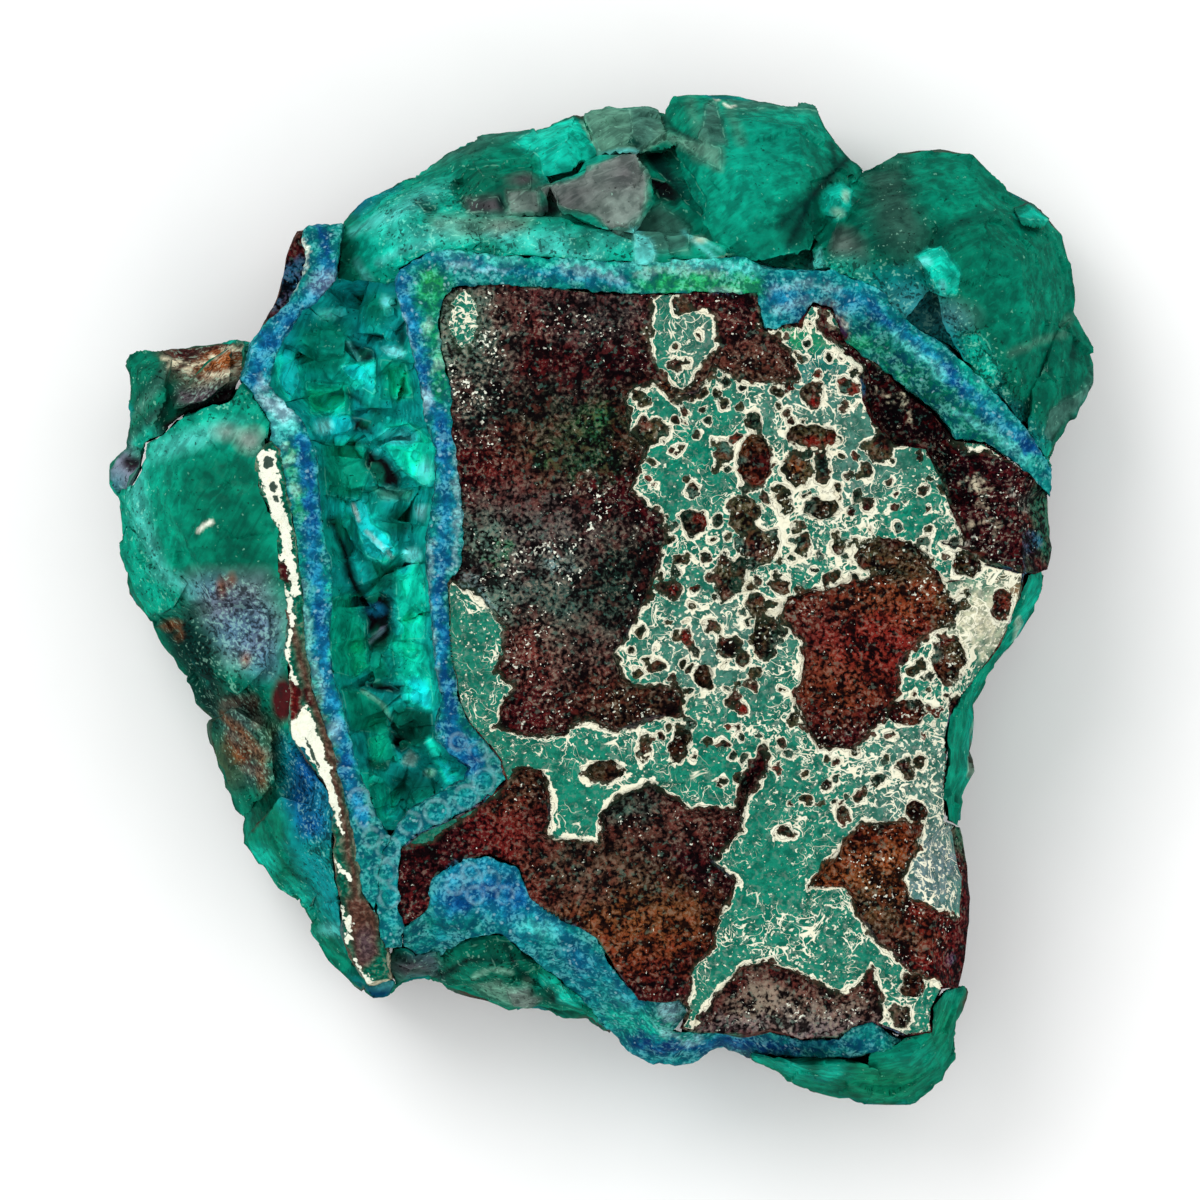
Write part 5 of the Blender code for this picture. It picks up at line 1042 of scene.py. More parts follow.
# Colours of the vug lining, drawn patch by patch: the crystals' own greens and blues, with painted light on
# the bright facets and painted shade in the black voids and dark gaps between crystals.
VUG_PAINTS = [
    # Upper part.
    ("sea", 0.7, 0.8, spot(368, 282, 26, 14), spot(318, 345, 40, 22), spot(338, 418, 24, 16)),
    ("emerald", 0.85, 0.5, spot(375, 306, 14, 18), area((296, 325), (350, 322), (352, 372), (300, 375))),
    ("cyan", 0.7, 0.2, spot(329, 314, 9, 4), spot(323, 426, 8, 7), spot(386, 302, 5, 5)),
    ("bright", 0.95, 0.15, area((273, 358), (282, 352), (297, 362), (298, 385), (290, 401), (280, 390))),
    ("bright", 1.0, 0.12, area((339, 367), (376, 359), (375, 395), (359, 387))),
    ("cyan", 0.8, 0.12, area((382, 348), (394, 345), (404, 354), (402, 358), (388, 354))),
    ("cyan", 0.8, 0.1, streak(3, (348, 343), (354, 350), (359, 359))),
    ("green", 0.85, 0.3, area((379, 358), (405, 362), (414, 398), (382, 398)), area((304, 381), (351, 384),
         (350, 414), (310, 414))),
    ("black", 0.95, 0.2, area((351, 340), (373, 350), (374, 360), (360, 364))),
    ("dark", 0.9, 0.15, streak(5, (345, 392), (362, 402), (376, 412)), spot(402, 336, 4, 12)),
    ("black", 1.0, 0.15, area((351, 414), (371, 420), (370, 432), (354, 430)), spot(354, 443, 11, 3)),
    # Middle.
    ("turquoise", 0.95, 0.2, area((385, 428), (410, 424), (434, 440), (436, 478), (424, 486), (398, 468),
         (384, 445))),
    ("cyan", 0.5, 0.3, spot(400, 436, 12, 5), spot(425, 470, 6, 9)),
    ("emerald", 0.85, 0.3, area((321, 442), (364, 446), (372, 462), (360, 498), (325, 496))),
    ("black", 1.0, 0.2, area((366, 448), (384, 456), (401, 478), (398, 489), (376, 484), (364, 464))),
    ("grey_green", 0.8, 0.2, area((373, 488), (412, 490), (408, 500), (380, 499))),
    ("bright", 0.95, 0.15, area((350, 502), (363, 500), (372, 524), (388, 534), (396, 552), (384, 564),
         (366, 556), (358, 534))),
    ("mint", 0.8, 0.12, streak(3, (366, 532), (380, 545), (390, 556)), streak(3, (352, 505), (358, 520))),
    ("cyan", 0.8, 0.15, area((415, 507), (428, 505), (424, 522), (416, 518)), spot(412, 556, 9, 8)),
    ("black", 1.0, 0.2, streak(9, (333, 520), (342, 545), (350, 575), (362, 600)), spot(333, 523, 9, 4)),
    ("deep", 0.9, 0.4, area((368, 560), (400, 560), (398, 590), (372, 596)), spot(398, 520, 16, 14)),
    ("turquoise", 0.95, 0.2, area((395, 570), (418, 560), (426, 590), (424, 640), (400, 640), (396, 600))),
    ("deep", 0.8, 0.25, spot(409, 614, 4, 6)),
    ("black", 1.0, 0.2, area((361, 600), (378, 592), (392, 600), (391, 640), (382, 656), (370, 652))),
    ("blue", 0.5, 0.2, spot(376, 610, 8, 5)),
    ("lilac", 0.8, 0.1, streak(3, (370, 642), (378, 634), (384, 628))),
    ("green", 0.9, 0.2, area((326, 600), (350, 592), (364, 625), (368, 668), (352, 678), (332, 672))),
    ("emerald", 0.9, 0.3, area((370, 656), (386, 660), (392, 680), (370, 680))),
    ("turquoise", 0.8, 0.3, area((390, 640), (426, 645), (432, 676), (395, 680))),
    # Lower part.
    ("black", 1.0, 0.12, area((361, 684), (378, 681), (403, 690), (398, 693), (376, 690))),
    ("emerald", 0.9, 0.2, area((340, 688), (366, 690), (386, 704), (388, 736), (350, 730))),
    ("sage", 0.7, 0.1, streak(3, (362, 690), (380, 702), (390, 718))),
    ("bright", 0.95, 0.25, area((404, 678), (430, 676), (434, 700), (428, 712), (410, 704))),
    ("deep", 1.0, 0.2, area((396, 706), (432, 712), (434, 738), (420, 748), (392, 742), (389, 722))),
    ("black", 1.0, 0.15, area((388, 728), (398, 736), (414, 744), (402, 753), (392, 748))),
    ("green", 0.9, 0.15, area((367, 738), (386, 733), (397, 762), (370, 762))),
    ("black", 1.0, 0.12, area((366, 758), (390, 764), (386, 771), (368, 768))),
    ("grey", 0.4, 0.1, area((400, 764), (410, 750), (418, 758), (414, 768))),
    ("mint", 0.5, 0.1, spot(429, 773, 5, 4)),
    ("turquoise", 0.9, 0.3, area((354, 772), (372, 772), (390, 790), (392, 812), (382, 828), (366, 812))),
    ("bright", 0.95, 0.15, streak(8, (430, 742), (438, 760), (448, 779), (454, 778))),
    ("deep", 0.8, 0.4, area((394, 772), (440, 780), (440, 800), (400, 808))),
    ("dark", 0.5, 0.4, spot(418, 776, 16, 8), spot(400, 790, 10, 6)),
]
# How grainy and speckled the crystals are, from 0 to 1.
GRIT_PAINTS = [
    (0.7, 1.0, 0.8, streak(34, (128, 450), (134, 520), (152, 580), (190, 630)), streak(26, (150, 430),
         (200, 404), (262, 400))),
    (1.0, 1.0, 0.5, area((192, 578), (262, 578), (284, 620), (272, 676), (226, 664), (196, 612))),
    (0.9, 1.0, 0.7, area((150, 616), (216, 640), (290, 730), (300, 800), (250, 800), (200, 720))),
    (0.9, 1.0, 0.5, area((284, 738), (324, 746), (340, 800), (346, 900), (300, 846))),
    (1.0, 1.0, 0.5, area((158, 340), (245, 334), (250, 384), (232, 404), (176, 404))),
    (0.6, 1.0, 0.8, spot(150, 400, 30, 50), spot(118, 475, 22, 34), spot(300, 900, 30, 50, 40)),
    (0.6, 1.0, 0.8, area((395, 920), (560, 930), (650, 1010), (640, 1050), (500, 1010), (395, 990))),
    (0.7, 1.0, 0.8, area((372, 180), (470, 168), (500, 215), (640, 232), (640, 275), (380, 290))),
    (0.9, 1.0, 0.8, area((780, 248), (900, 250), (990, 330), (1050, 440), (1030, 470), (900, 350),
         (780, 290))),
    (0.4, 1.0, 1.5, spot(900, 215, 30, 50), spot(1090, 400, 16, 30)),
]
PLAIN_GRIT = 0.2
VUG_GRIT = 0.3
# Node, base colour, paints, direction of its streaks in degrees, seed and brightness.
CRYSTAL_GROUPS = [
    ("top_crystals", "green", TOP_PAINTS, 30.0, 201, 0.85),
    ("dioptase_left_block", "green", BLOCK_PAINTS, 60.0, 211, 1.0),
    ("left_knob", "emerald", KNOB_PAINTS, 50.0, 221, 1.1),
    ("bottom_crystals", "green", BOTTOM_PAINTS, 20.0, 231, 0.8),
    ("corner_crystals", "green", CORNER_PAINTS, 15.0, 241, 0.75),
    ("flank_crystals", "green", FLANK_PAINTS, 80.0, 251, 0.9),
]
# A patch drawn with a softness up to CRISP, and large enough, is a facet with a flat face of its own.
CRISP = 0.3
LEAST_POINTS = 30
FACET_TILT = 0.16
FACET_STEP = 0.12
FACET_MOST = 0.3
FACET_EDGE = 0.12
# Size and tilt of the facets that no patch draws, large and small.
CRYSTAL_FACETS = ((3.2, 0.16), (1.3, 0.1))
FACET_ROUGHNESS = 0.02
SIDE_ROUGHNESS = 0.25
TINT_ROUGHNESS = 0.25
CRYSTAL_LEVEL = 9.0
CRYSTAL_FINE = 0.25
CRYSTAL_LOW_FINE = 0.7
CRYSTAL_COARSE = 0.9
# Heights between which the colours of the sides give way to those drawn from above.
CRYSTAL_RIND_FADE = (14.5, 17.0)
CREASE = 24
CRYSTAL_IOR = 1.6
CRYSTAL_CLEARNESS = 0.03
CRYSTAL_UPWARD = (0.0, 0.3)
# How a drawn edge wanders.
EDGE_BEND = [(0.07, 0.7, 0)]


def faceted(points, size, tilt, seed):
    """Offset that breaks a surface into cells, each with a flat face of its own tilt."""
    _, owner, middle = cells(points, size, seed)
    lean = np.stack([random_of(owner, seed + 7 * axis) - 0.5 for axis in range(3)], axis=1)
    return tilt * np.sum(lean * (points - middle), axis=1)


def drawn_facets(plan, jobs, seed):
    """Lift that gives each crisply drawn patch a flat face of its own tilt, and the distance to its edge."""
    dice = np.random.default_rng(seed)
    lift, edge = np.zeros(len(plan)), np.full(len(plan), NO_EDGE)
    for _, _, soft, *shapes in jobs:
        for shape in shapes:
            tilt, step = dice.uniform(-FACET_TILT, FACET_TILT, 2), dice.uniform(-FACET_STEP, FACET_STEP)
            distance = shape(plan)
            inside = distance < 0.0
            if soft > CRISP or inside.sum() < LEAST_POINTS or not hasattr(shape, "outlined"):
                continue
            slope = np.clip((plan - plan[inside].mean(axis=0)) @ tilt + step, -FACET_MOST, FACET_MOST)
            lift += (slope - lift) * np.clip(0.5 - distance / FACET_EDGE, 0.0, 1.0)
            edge = np.where(np.abs(distance) < np.abs(edge), distance, edge)
    return lift, edge


def rind(points, seed, main="emerald", second="deep", third="maroon"):
    """Colours of the sides and back: a main colour with clouds of rock and of other crystal."""
    return clouds(flood(len(points), main), points, [
        (2.6, seed, 0.0, 0.5, 0.8, second),
        (2.2, seed + 4, 0.35, 0.7, 0.5, "sea"),
        (1.7, seed + 2, 0.35, 0.6, 0.6, "turquoise"),
        (3.4, seed + 1, 0.25, 0.5, 0.7, third),
    ])


def make_crystals(node, base, jobs, turn, seed, level):
    """A packed crystal group with small facets and steps, and its painted colours."""
    points, faces, normals = surface_of(node, CRYSTAL_LEVEL, CRYSTAL_FINE, CRYSTAL_LOW_FINE, CRYSTAL_COARSE)
    up = smooth(normals[:, 2], *CRYSTAL_UPWARD)
    plan = bend(points[:, :2], EDGE_BEND, seed)
    lift, edge = drawn_facets(plan, jobs, seed)
    lift *= up
    for number, (size, tilt) in enumerate(CRYSTAL_FACETS):
        lift += faceted(points, size, tilt, seed + number)
    side_lift = (1.0 - up) * SIDE_ROUGHNESS * rough(points, 2.4, seed + 3)
    lift += FACET_ROUGHNESS * rough(points, 0.6, seed + 2) + side_lift
    tint = paint(flood(len(points), base), plan, jobs)
    tint *= (level * (1.0 + TINT_ROUGHNESS * rough(points, 1.8, seed + 5)))[:, None]
    blend(tint, (1.0 - up) * (1.0 - smooth(points[:, 2], *CRYSTAL_RIND_FADE)), rind(points, seed))
    points = pushed(points, normals, lift)
    grit = paint(np.full(len(points), PLAIN_GRIT), plan, GRIT_PAINTS) * up
    values = {"edge": np.where(up > 0.3, edge, NO_EDGE), "grit": grit}
    colours = {"tint": np.clip(tint, 0.0, 1.0)}
    make_piece(node, (points, faces), values, colours, crystal_material(node, turn), CREASE)


def crystal_material(node, turn):
    s = Shader(node + "_look")
    tint, grit = s.colour("tint"), s.value("grit")
    glow = s.glow(0.7, tint)
    shade = s.mix(0.7, tint, "dark")
    streaks = s.noise(0.3, 2.0, s.streaked(turn))
    cloud = s.waver(0.9, 3.0)
    fine = s.waver(0.22, 1.5)
    base = s.lay(tint, s.drop(cloud, 0.36, 0.56), 0.6, shade)
    base = s.lay(base, s.step(cloud, 0.52, 0.72), 0.5, glow)
    base = s.lay(base, s.step(streaks, 0.56, 0.68), 0.35, glow)
    base = s.lay(base, s.drop(streaks, 0.32, 0.44), 0.4, shade)
    # Grains: more of them, pale and dark, where the crystal is gritty. The pale grains are partly the
    # crystal's own specks and partly painted glints.
    speck = s.times_plus(s.noise(0.7, 2.0), 0.4, s.times(fine, 0.6))
    pale = s.step(s.minus(speck, s.times_plus(grit, -0.14, 0.68)), 0.0, 0.05)
    base = s.lay(base, pale, 0.65, s.mix(0.45, glow, "mint"))
    dark = s.step(s.minus(s.times_plus(grit, 0.15, 0.33), speck), 0.0, 0.05)
    base = s.lay(base, dark, 0.85, s.mix(0.85, tint, "black"))
    # Edges of the drawn facets: a broken line of painted shade and a painted highlight beside it.
    edge, broken = s.value("edge"), s.noise(0.8, 2.0)
    edge_shade_line = s.line(s.beside(edge, 0.02), s.times(s.step(broken, 0.42, 0.6), 0.09), 0.04)
    edge_highlight_line = s.line(s.beside(edge, -0.05), s.times(s.drop(broken, 0.4, 0.55), 0.06), 0.04)
    base = s.lay(base, edge_highlight_line, 0.4, s.mix(0.4, glow, "mint"))
    base = s.lay(base, edge_shade_line, 0.45, shade)
    height = s.times_plus(s.times(fine, grit), 1.5, s.noise(0.3, 1.0, s.streaked(turn)))
    shine = s.times_plus(grit, 0.3, s.times_plus(broken, 0.2, 0.1))
    clear = {"IOR": CRYSTAL_IOR, "Transmission_Weight": CRYSTAL_CLEARNESS}
    return s.finish(base, shine, s.bump(height, 0.03), Specular_IOR_Level=0.0, **clear)


# ---- Vug: a hollow lined with small crystals ----

VUG_LEFT = [
    (337, 282), (322, 300), (303, 312), (288, 335), (277, 360), (272, 385), (288, 403), (305, 420),
    (318, 450), (322, 485), (323, 520), (333, 560), (335, 600), (332, 640), (337, 680), (347, 712),
    (357, 755), (368, 790), (380, 815), (392, 838),
]
VUG_RIGHT = [
    (392, 283), (397, 305), (405, 330), (412, 358), (418, 390), (423, 420), (433, 450), (433, 478),
    (430, 500), (425, 530), (423, 560), (427, 590), (430, 625), (433, 667), (440, 700), (433, 722),
    (433, 740), (448, 755), (467, 768), (462, 778), (437, 792), (410, 807), (397, 822),
]
VUG = area(*(VUG_LEFT + VUG_RIGHT[::-1]))
VUG_SEED = 60
SMALL_CRYSTAL_SEED = 5
VUG_FINE = 0.27
VUG_COARSE = 0.6
VUG_FACETS = (1.6, 0.14)
VUG_LIFT = 1.5
VUG_CREASE = 20
VUG_TURN = 70.0
# How far the lining spreads, beside the hollow's middle and past END_REACH from it.
SPREAD = 0.3
SPREAD_ENDS = 0.8
MIDDLE_Y = 2.9
END_REACH = 15.3
# The step over which the slope of the distance to the hollow's edge is taken, and the least slope.
SLOPE_STEP = 0.05
LEAST_SLOPE = 0.01
# How far up to its rim the lining climbs, and how far it stays below its highest point.
CLIMB = 0.9
RIM_DROP = 0.4
# Painted light on the lining, lifting it out of the hollow's shade: its brightness at the deepest, what it
# loses towards the rim, and between which heights.
DEEP_PAINTED_LIGHT = 6.0
RIM_PAINTED_LIGHT_LOSS = 3.8
PAINTED_LIGHT_FADE = (11.0, 16.5)
VUG_TINT_ROUGHNESS = 0.2
VUG_CLOUDS = [(1.5, 68, 0.1, 0.5, 0.3, "green")]
# Each small crystal's own brightness.
LEAST_OWN_LIGHT = 0.7
OWN_LIGHT_RANGE = 0.6
SMALL_CRYSTALS = 26
# Least and most width of a small crystal, and its length in widths.
CRYSTAL_WIDTHS = (0.4, 0.9)
CRYSTAL_LENGTHS = (0.9, 1.8)
CRYSTAL_LEAN = 0.8
CRYSTAL_RISE = 0.4
# How far a crystal's corners and tip step off its end, as shares of its length.
SHOULDER = 0.14
TIP = 0.2
# Small crystals keep this far inside the hollow's edge, and are dropped onto the lining from this height.
EDGE_GAP = 0.15
DROP_HEIGHT = 40.0
CRYSTAL_FACES = [
    (0, 1, 7, 6), (1, 2, 8, 7), (2, 3, 9, 8), (3, 4, 10, 9), (4, 5, 11, 10), (5, 0, 6, 11),
    (12, 6, 7, 8), (12, 8, 9, 10), (12, 10, 11, 6),
]


def small_crystal(place, axis, width, length, spin):
    """Six-sided prism with a three-faced tip, as points and triangles."""
    points = []
    for height in (-0.5, 0.5):
        for side in range(6):
            angle = math.radians(60.0 * side) + spin
            level = height * length + (0.0 if height < 0 else -SHOULDER * length * (side % 2))
            points.append((0.5 * width * math.cos(angle), 0.5 * width * math.sin(angle), level))
    points.append((0.0, 0.0, 0.5 * length + TIP * length))
    turned = axis.to_track_quat("Z", "Y").to_matrix()
    points = np.array([tuple(turned @ Vector(point)) for point in points]) + np.array(place)
    triangles = [part for a, b, c, d in CRYSTAL_FACES for part in ((a, b, c), (a, c, d))]
    return points, np.array(triangles)


def grow_crystals(points, faces, seed):
    """Small crystals standing on the surface where it faces upwards."""
    tree = BVHTree.FromPolygons(points.tolist(), faces.tolist())
    dice = np.random.default_rng(seed)
    grown = []
    low, high = points.min(axis=0), points.max(axis=0)
    while len(grown) < SMALL_CRYSTALS:
        x, y = dice.uniform(low[:2], high[:2])
        if VUG(np.array([(x, y)]))[0] > -EDGE_GAP:
            continue
        place, normal, _, _ = tree.ray_cast(Vector((x, y, DROP_HEIGHT)), Vector((0.0, 0.0, -1.0)))
        if place is None:
            continue
        lean = Vector(dice.uniform(-CRYSTAL_LEAN, CRYSTAL_LEAN, 3))
        axis = (normal + lean + Vector((0.0, 0.0, CRYSTAL_RISE))).normalized()
        width = dice.uniform(*CRYSTAL_WIDTHS)
        length = width * dice.uniform(*CRYSTAL_LENGTHS)
        grown.append(small_crystal(place, axis, width, length, dice.uniform(0.0, 1.0)))
    return grown


def vug_lining():
    """Faceted surface of the vug, spread against the hollow's walls and climbing a little way up them."""
    points, faces, normals = surface_of("vug_crystals", 0.0, VUG_FINE, VUG_FINE, VUG_COARSE)
    lift, _ = drawn_facets(bend(points[:, :2], EDGE_BEND, VUG_SEED + 3), VUG_PAINTS, VUG_SEED)
    lift = VUG_LIFT * lift * smooth(normals[:, 2], *CRYSTAL_UPWARD)
    lift += faceted(points, *VUG_FACETS, VUG_SEED + 1)
    lift += FACET_ROUGHNESS * rough(points, 0.6, VUG_SEED + 2)
    points = points + normals * lift[:, None]
    plan = points[:, :2].copy()
    reach = VUG(plan)
    steps = np.eye(2) * SLOPE_STEP
    outward = np.stack([VUG(plan + step) - VUG(plan - step) for step in steps], axis=1)
    outward /= np.maximum(np.linalg.norm(outward, axis=1, keepdims=True), LEAST_SLOPE)
    spread = np.where(np.abs(plan[:, 1] - MIDDLE_Y) > END_REACH, SPREAD_ENDS, SPREAD)
    points[:, :2] += outward * (spread * smooth(reach, -0.9, -0.1))[:, None]
    climb = smooth(reach, -1.5, 0.0) * smooth(normals[:, 2], -0.1, 0.3)
    points[:, 2] += CLIMB * climb * np.maximum(points[:, 2].max() - RIM_DROP - points[:, 2], 0.0)
    return points, faces


def make_vug():
    points, faces = vug_lining()
    stacks = [points], [faces], [np.zeros(len(points))]
    start = len(points)
    for number, (places, triangles) in enumerate(grow_crystals(points, faces, SMALL_CRYSTAL_SEED)):
        places = places[triangles.ravel()]
        stacks[0].append(places)
        stacks[1].append(np.arange(len(places)).reshape(-1, 3) + start)
        stacks[2].append(np.full(len(places), 1.0 + number))
        start += len(places)
    points, faces, owner = (np.concatenate(stack) for stack in stacks)
    plan = bend(points[:, :2], EDGE_BEND, VUG_SEED + 3)
    _, edge = drawn_facets(plan, VUG_PAINTS, VUG_SEED)
    tint = paint(flood(len(points), "teal"), plan, VUG_PAINTS)
    clouds(tint, points, VUG_CLOUDS)
    own = random_of(owner[:, None], VUG_SEED + 4)
    tint *= np.where(owner > 0, LEAST_OWN_LIGHT + OWN_LIGHT_RANGE * own, 1.0)[:, None]
    # Painted light: the lining is coloured brighter the deeper it lies, against the shade in the hollow.
    light = DEEP_PAINTED_LIGHT - RIM_PAINTED_LIGHT_LOSS * smooth(points[:, 2], *PAINTED_LIGHT_FADE)
    tint *= (light * (1.0 + VUG_TINT_ROUGHNESS * rough(points, 1.4, VUG_SEED + 5)))[:, None]
    values = {"edge": np.where(owner > 0, NO_EDGE, edge), "grit": np.full(len(points), VUG_GRIT)}
    colours = {"tint": np.clip(tint, 0.0, 1.0)}
    material = crystal_material("vug_crystals", VUG_TURN)
    make_piece("vug_crystals", (points, faces), values, colours, material, VUG_CREASE)


# ---- Blue crusts and the white seam ----

CRUST_PAINTS = [
    # Band above the face.
    ("turquoise", 0.85, 0.3, streak(9, (410, 250), (470, 252), (560, 262), (640, 262), (756, 262))),
    ("cyan", 0.6, 0.2, streak(3, (430, 252), (470, 256), (520, 262)), streak(3, (560, 262), (610, 268),
         (640, 262))),
    ("leaf", 0.95, 0.5, spot(434, 287, 17, 17), streak(14, (432, 300), (437, 350), (441, 395))),
    ("lime", 0.6, 0.3, spot(430, 282, 9, 8)),
    ("mint", 0.7, 0.2, spot(438, 362, 6, 8), spot(428, 325, 4, 6), spot(444, 340, 4, 5)),
    ("emerald", 0.8, 0.3, streak(7, (455, 288), (520, 290), (600, 291), (640, 292))),
    ("blue", 0.8, 0.3, streak(4, (394, 276), (402, 266), (418, 258), (445, 256), (470, 262), (510, 272),
         (560, 273), (600, 279), (625, 281))),
    ("pale_blue", 0.5, 0.2, streak(4, (450, 262), (480, 268), (505, 270)), streak(4, (560, 268), (600, 274),
         (622, 278))),
    ("leaf", 0.85, 0.3, area((630, 278), (680, 270), (764, 276), (764, 300), (690, 292), (640, 292))),
    ("lime", 0.6, 0.3, spot(690, 284, 30, 6), spot(745, 286, 14, 6)),
    ("mint", 0.7, 0.2, streak(4, (636, 272), (680, 268), (720, 274)), streak(4, (700, 296), (740, 290))),
    ("cyan", 0.7, 0.3, streak(5, (640, 258), (700, 262), (756, 270)), spot(680, 256, 16, 4)),
    # Long band beside the face.
    ("navy", 0.85, 0.25, streak(12, (400, 280), (404, 300), (412, 330))),
    ("blue", 0.95, 0.25, streak(12, (398, 278), (404, 300), (414, 335), (424, 372), (428, 395), (440, 425),
         (445, 465), (446, 520), (440, 560), (438, 605), (443, 650), (450, 700), (452, 722))),
    ("navy", 0.7, 0.25, streak(9, (424, 365), (427, 388)), streak(11, (442, 425), (444, 460)),
         streak(8, (444, 560), (440, 600), (444, 640)), streak(9, (446, 660), (451, 715))),
    ("pale_blue", 0.65, 0.15, streak(3, (396, 300), (405, 325), (412, 350)), spot(426, 400, 9, 8),
         streak(3, (434, 540), (427, 590), (432, 640), (438, 690)), streak(3, (456, 430), (458, 500),
         (452, 570))),
    ("emerald", 0.85, 0.2, streak(9, (455, 590), (452, 640), (458, 690), (466, 730))),
    ("blue", 0.95, 0.3, area((440, 720), (462, 728), (484, 755), (480, 780), (456, 772), (442, 748))),
    ("navy", 0.8, 0.3, spot(456, 742, 10, 8), spot(470, 762, 8, 10), spot(446, 728, 6, 6)),
    ("sea", 0.8, 0.3, streak(8, (490, 770), (470, 800), (440, 818), (405, 830), (392, 860), (394, 900),
         (392, 925))),
    # Fibrous blue zone and the diagonal down the right.
    ("navy", 0.55, 0.6, area((765, 284), (800, 280), (866, 296), (866, 322), (800, 332), (765, 330))),
    ("blue", 0.6, 0.5, spot(780, 300, 16, 14), spot(850, 300, 14, 8)),
    ("teal", 0.85, 0.5, spot(810, 276, 34, 10), spot(772, 320, 14, 12), spot(846, 318, 14, 10)),
    ("sea", 0.85, 0.5, spot(810, 272, 30, 8), spot(870, 285, 16, 10), spot(778, 322, 10, 8),
         spot(820, 300, 14, 12)),
    ("pale_blue", 0.5, 0.25, streak(3, (768, 292), (800, 284), (840, 290)), streak(3, (775, 312),
         (806, 302), (850, 312))),
    ("emerald", 0.95, 0.5, area((843, 333), (880, 332), (930, 366), (975, 405), (1010, 445), (985, 460),
         (940, 422), (880, 372), (850, 350))),
    ("leaf", 0.8, 0.3, spot(862, 343, 20, 7, -15), spot(797, 336, 18, 8), spot(905, 378, 14, 5, -35)),
    ("deep", 0.8, 0.4, spot(900, 362, 20, 7, -35), spot(935, 400, 24, 8, -38), spot(868, 326, 10, 8)),
    ("blue", 0.8, 0.3, streak(9, (862, 300), (892, 325), (930, 350), (960, 385), (985, 410), (1030, 445),
         (1050, 466))),
    ("navy", 0.85, 0.25, streak(7, (872, 312), (890, 326)), streak(8, (942, 365), (960, 388)),
         spot(1028, 443, 12, 8, -40)),
    ("teal", 0.8, 0.3, streak(7, (880, 296), (915, 322), (950, 352), (985, 384), (1030, 424))),
    ("cyan", 0.7, 0.2, streak(4, (890, 332), (920, 352), (945, 378)), streak(4, (960, 415), (1000, 436),
         (1030, 462))),
    ("turquoise", 0.95, 0.3, area((960, 335), (985, 335), (1000, 380), (980, 392), (958, 372))),
    ("cyan", 0.5, 0.3, spot(975, 350, 10, 8), spot(985, 375, 8, 8)),
    ("turquoise", 0.8, 0.3, spot(1038, 462, 9, 7)),
    ("maroon", 1.0, 0.2, spot(822, 308, 12, 9), spot(836, 336, 11, 20, -20)),
    ("white", 0.8, 0.1, streak(3, (822, 322), (824, 340), (834, 352)), streak(2, (836, 318), (850, 330))),
]
LEFT_CRUST_PAINTS = [
    ("turquoise", 0.7, 0.4, streak(7, (292, 520), (298, 570), (304, 620), (310, 670), (322, 720),
         (334, 780)), streak(5, (326, 520), (332, 600), (338, 680), (352, 750))),
    ("turquoise", 0.5, 0.4, spot(345, 252, 8, 20), spot(300, 370, 10, 14)),
    ("navy", 0.9, 0.25, streak(10, (318, 224), (326, 250), (329, 268))),
    ("blue", 0.9, 0.4, streak(20, (326, 270), (326, 290), (300, 312), (282, 325), (262, 350), (252, 384))),
    ("navy", 0.6, 0.3, spot(290, 320, 10, 8), spot(270, 340, 9, 9), spot(254, 372, 6, 10)),
    ("lilac", 0.6, 0.4, spot(328, 284, 15, 12)),
    ("pale_blue", 0.75, 0.25, spot(284, 412, 14, 9, -30), spot(270, 402, 9, 6), spot(262, 385, 5, 6)),
    ("cyan", 0.7, 0.3, spot(292, 424, 9, 8), spot(274, 425, 6, 10)),
    ("blue", 1.0, 0.25, streak(13, (300, 440), (306, 470), (311, 510), (314, 560), (322, 605), (323, 650),
         (328, 690), (342, 735), (350, 780), (364, 822))),
    ("navy", 0.75, 0.25, streak(10, (303, 445), (308, 480), (312, 525)), spot(319, 620, 7, 14),
         spot(345, 765, 8, 12)),
    ("pale_blue", 0.45, 0.2, streak(4, (303, 580), (306, 620), (312, 660), (322, 700)),
         spot(334, 730, 6, 10)),
    ("white", 0.9, 0.1, streak(3, (300, 243), (306, 256), (303, 270), (292, 288), (277, 304))),
    ("plum", 1.0, 0.12, area((284, 302), (290, 270), (299, 250), (302, 262), (297, 280), (288, 300))),
    ("lime", 0.5, 0.25, streak(7, (288, 450), (294, 480), (300, 515))),
    ("mint", 0.5, 0.15, spot(290, 462, 4, 5), spot(294, 490, 4, 7), spot(284, 445, 4, 4)),
    ("brown", 0.95, 0.2, streak(6, (292, 610), (299, 650), (306, 680), (321, 722), (331, 761), (344, 822),
         (352, 870))),
    ("maroon", 0.8, 0.15, streak(4, (298, 640), (306, 690), (322, 728), (336, 790))),
]
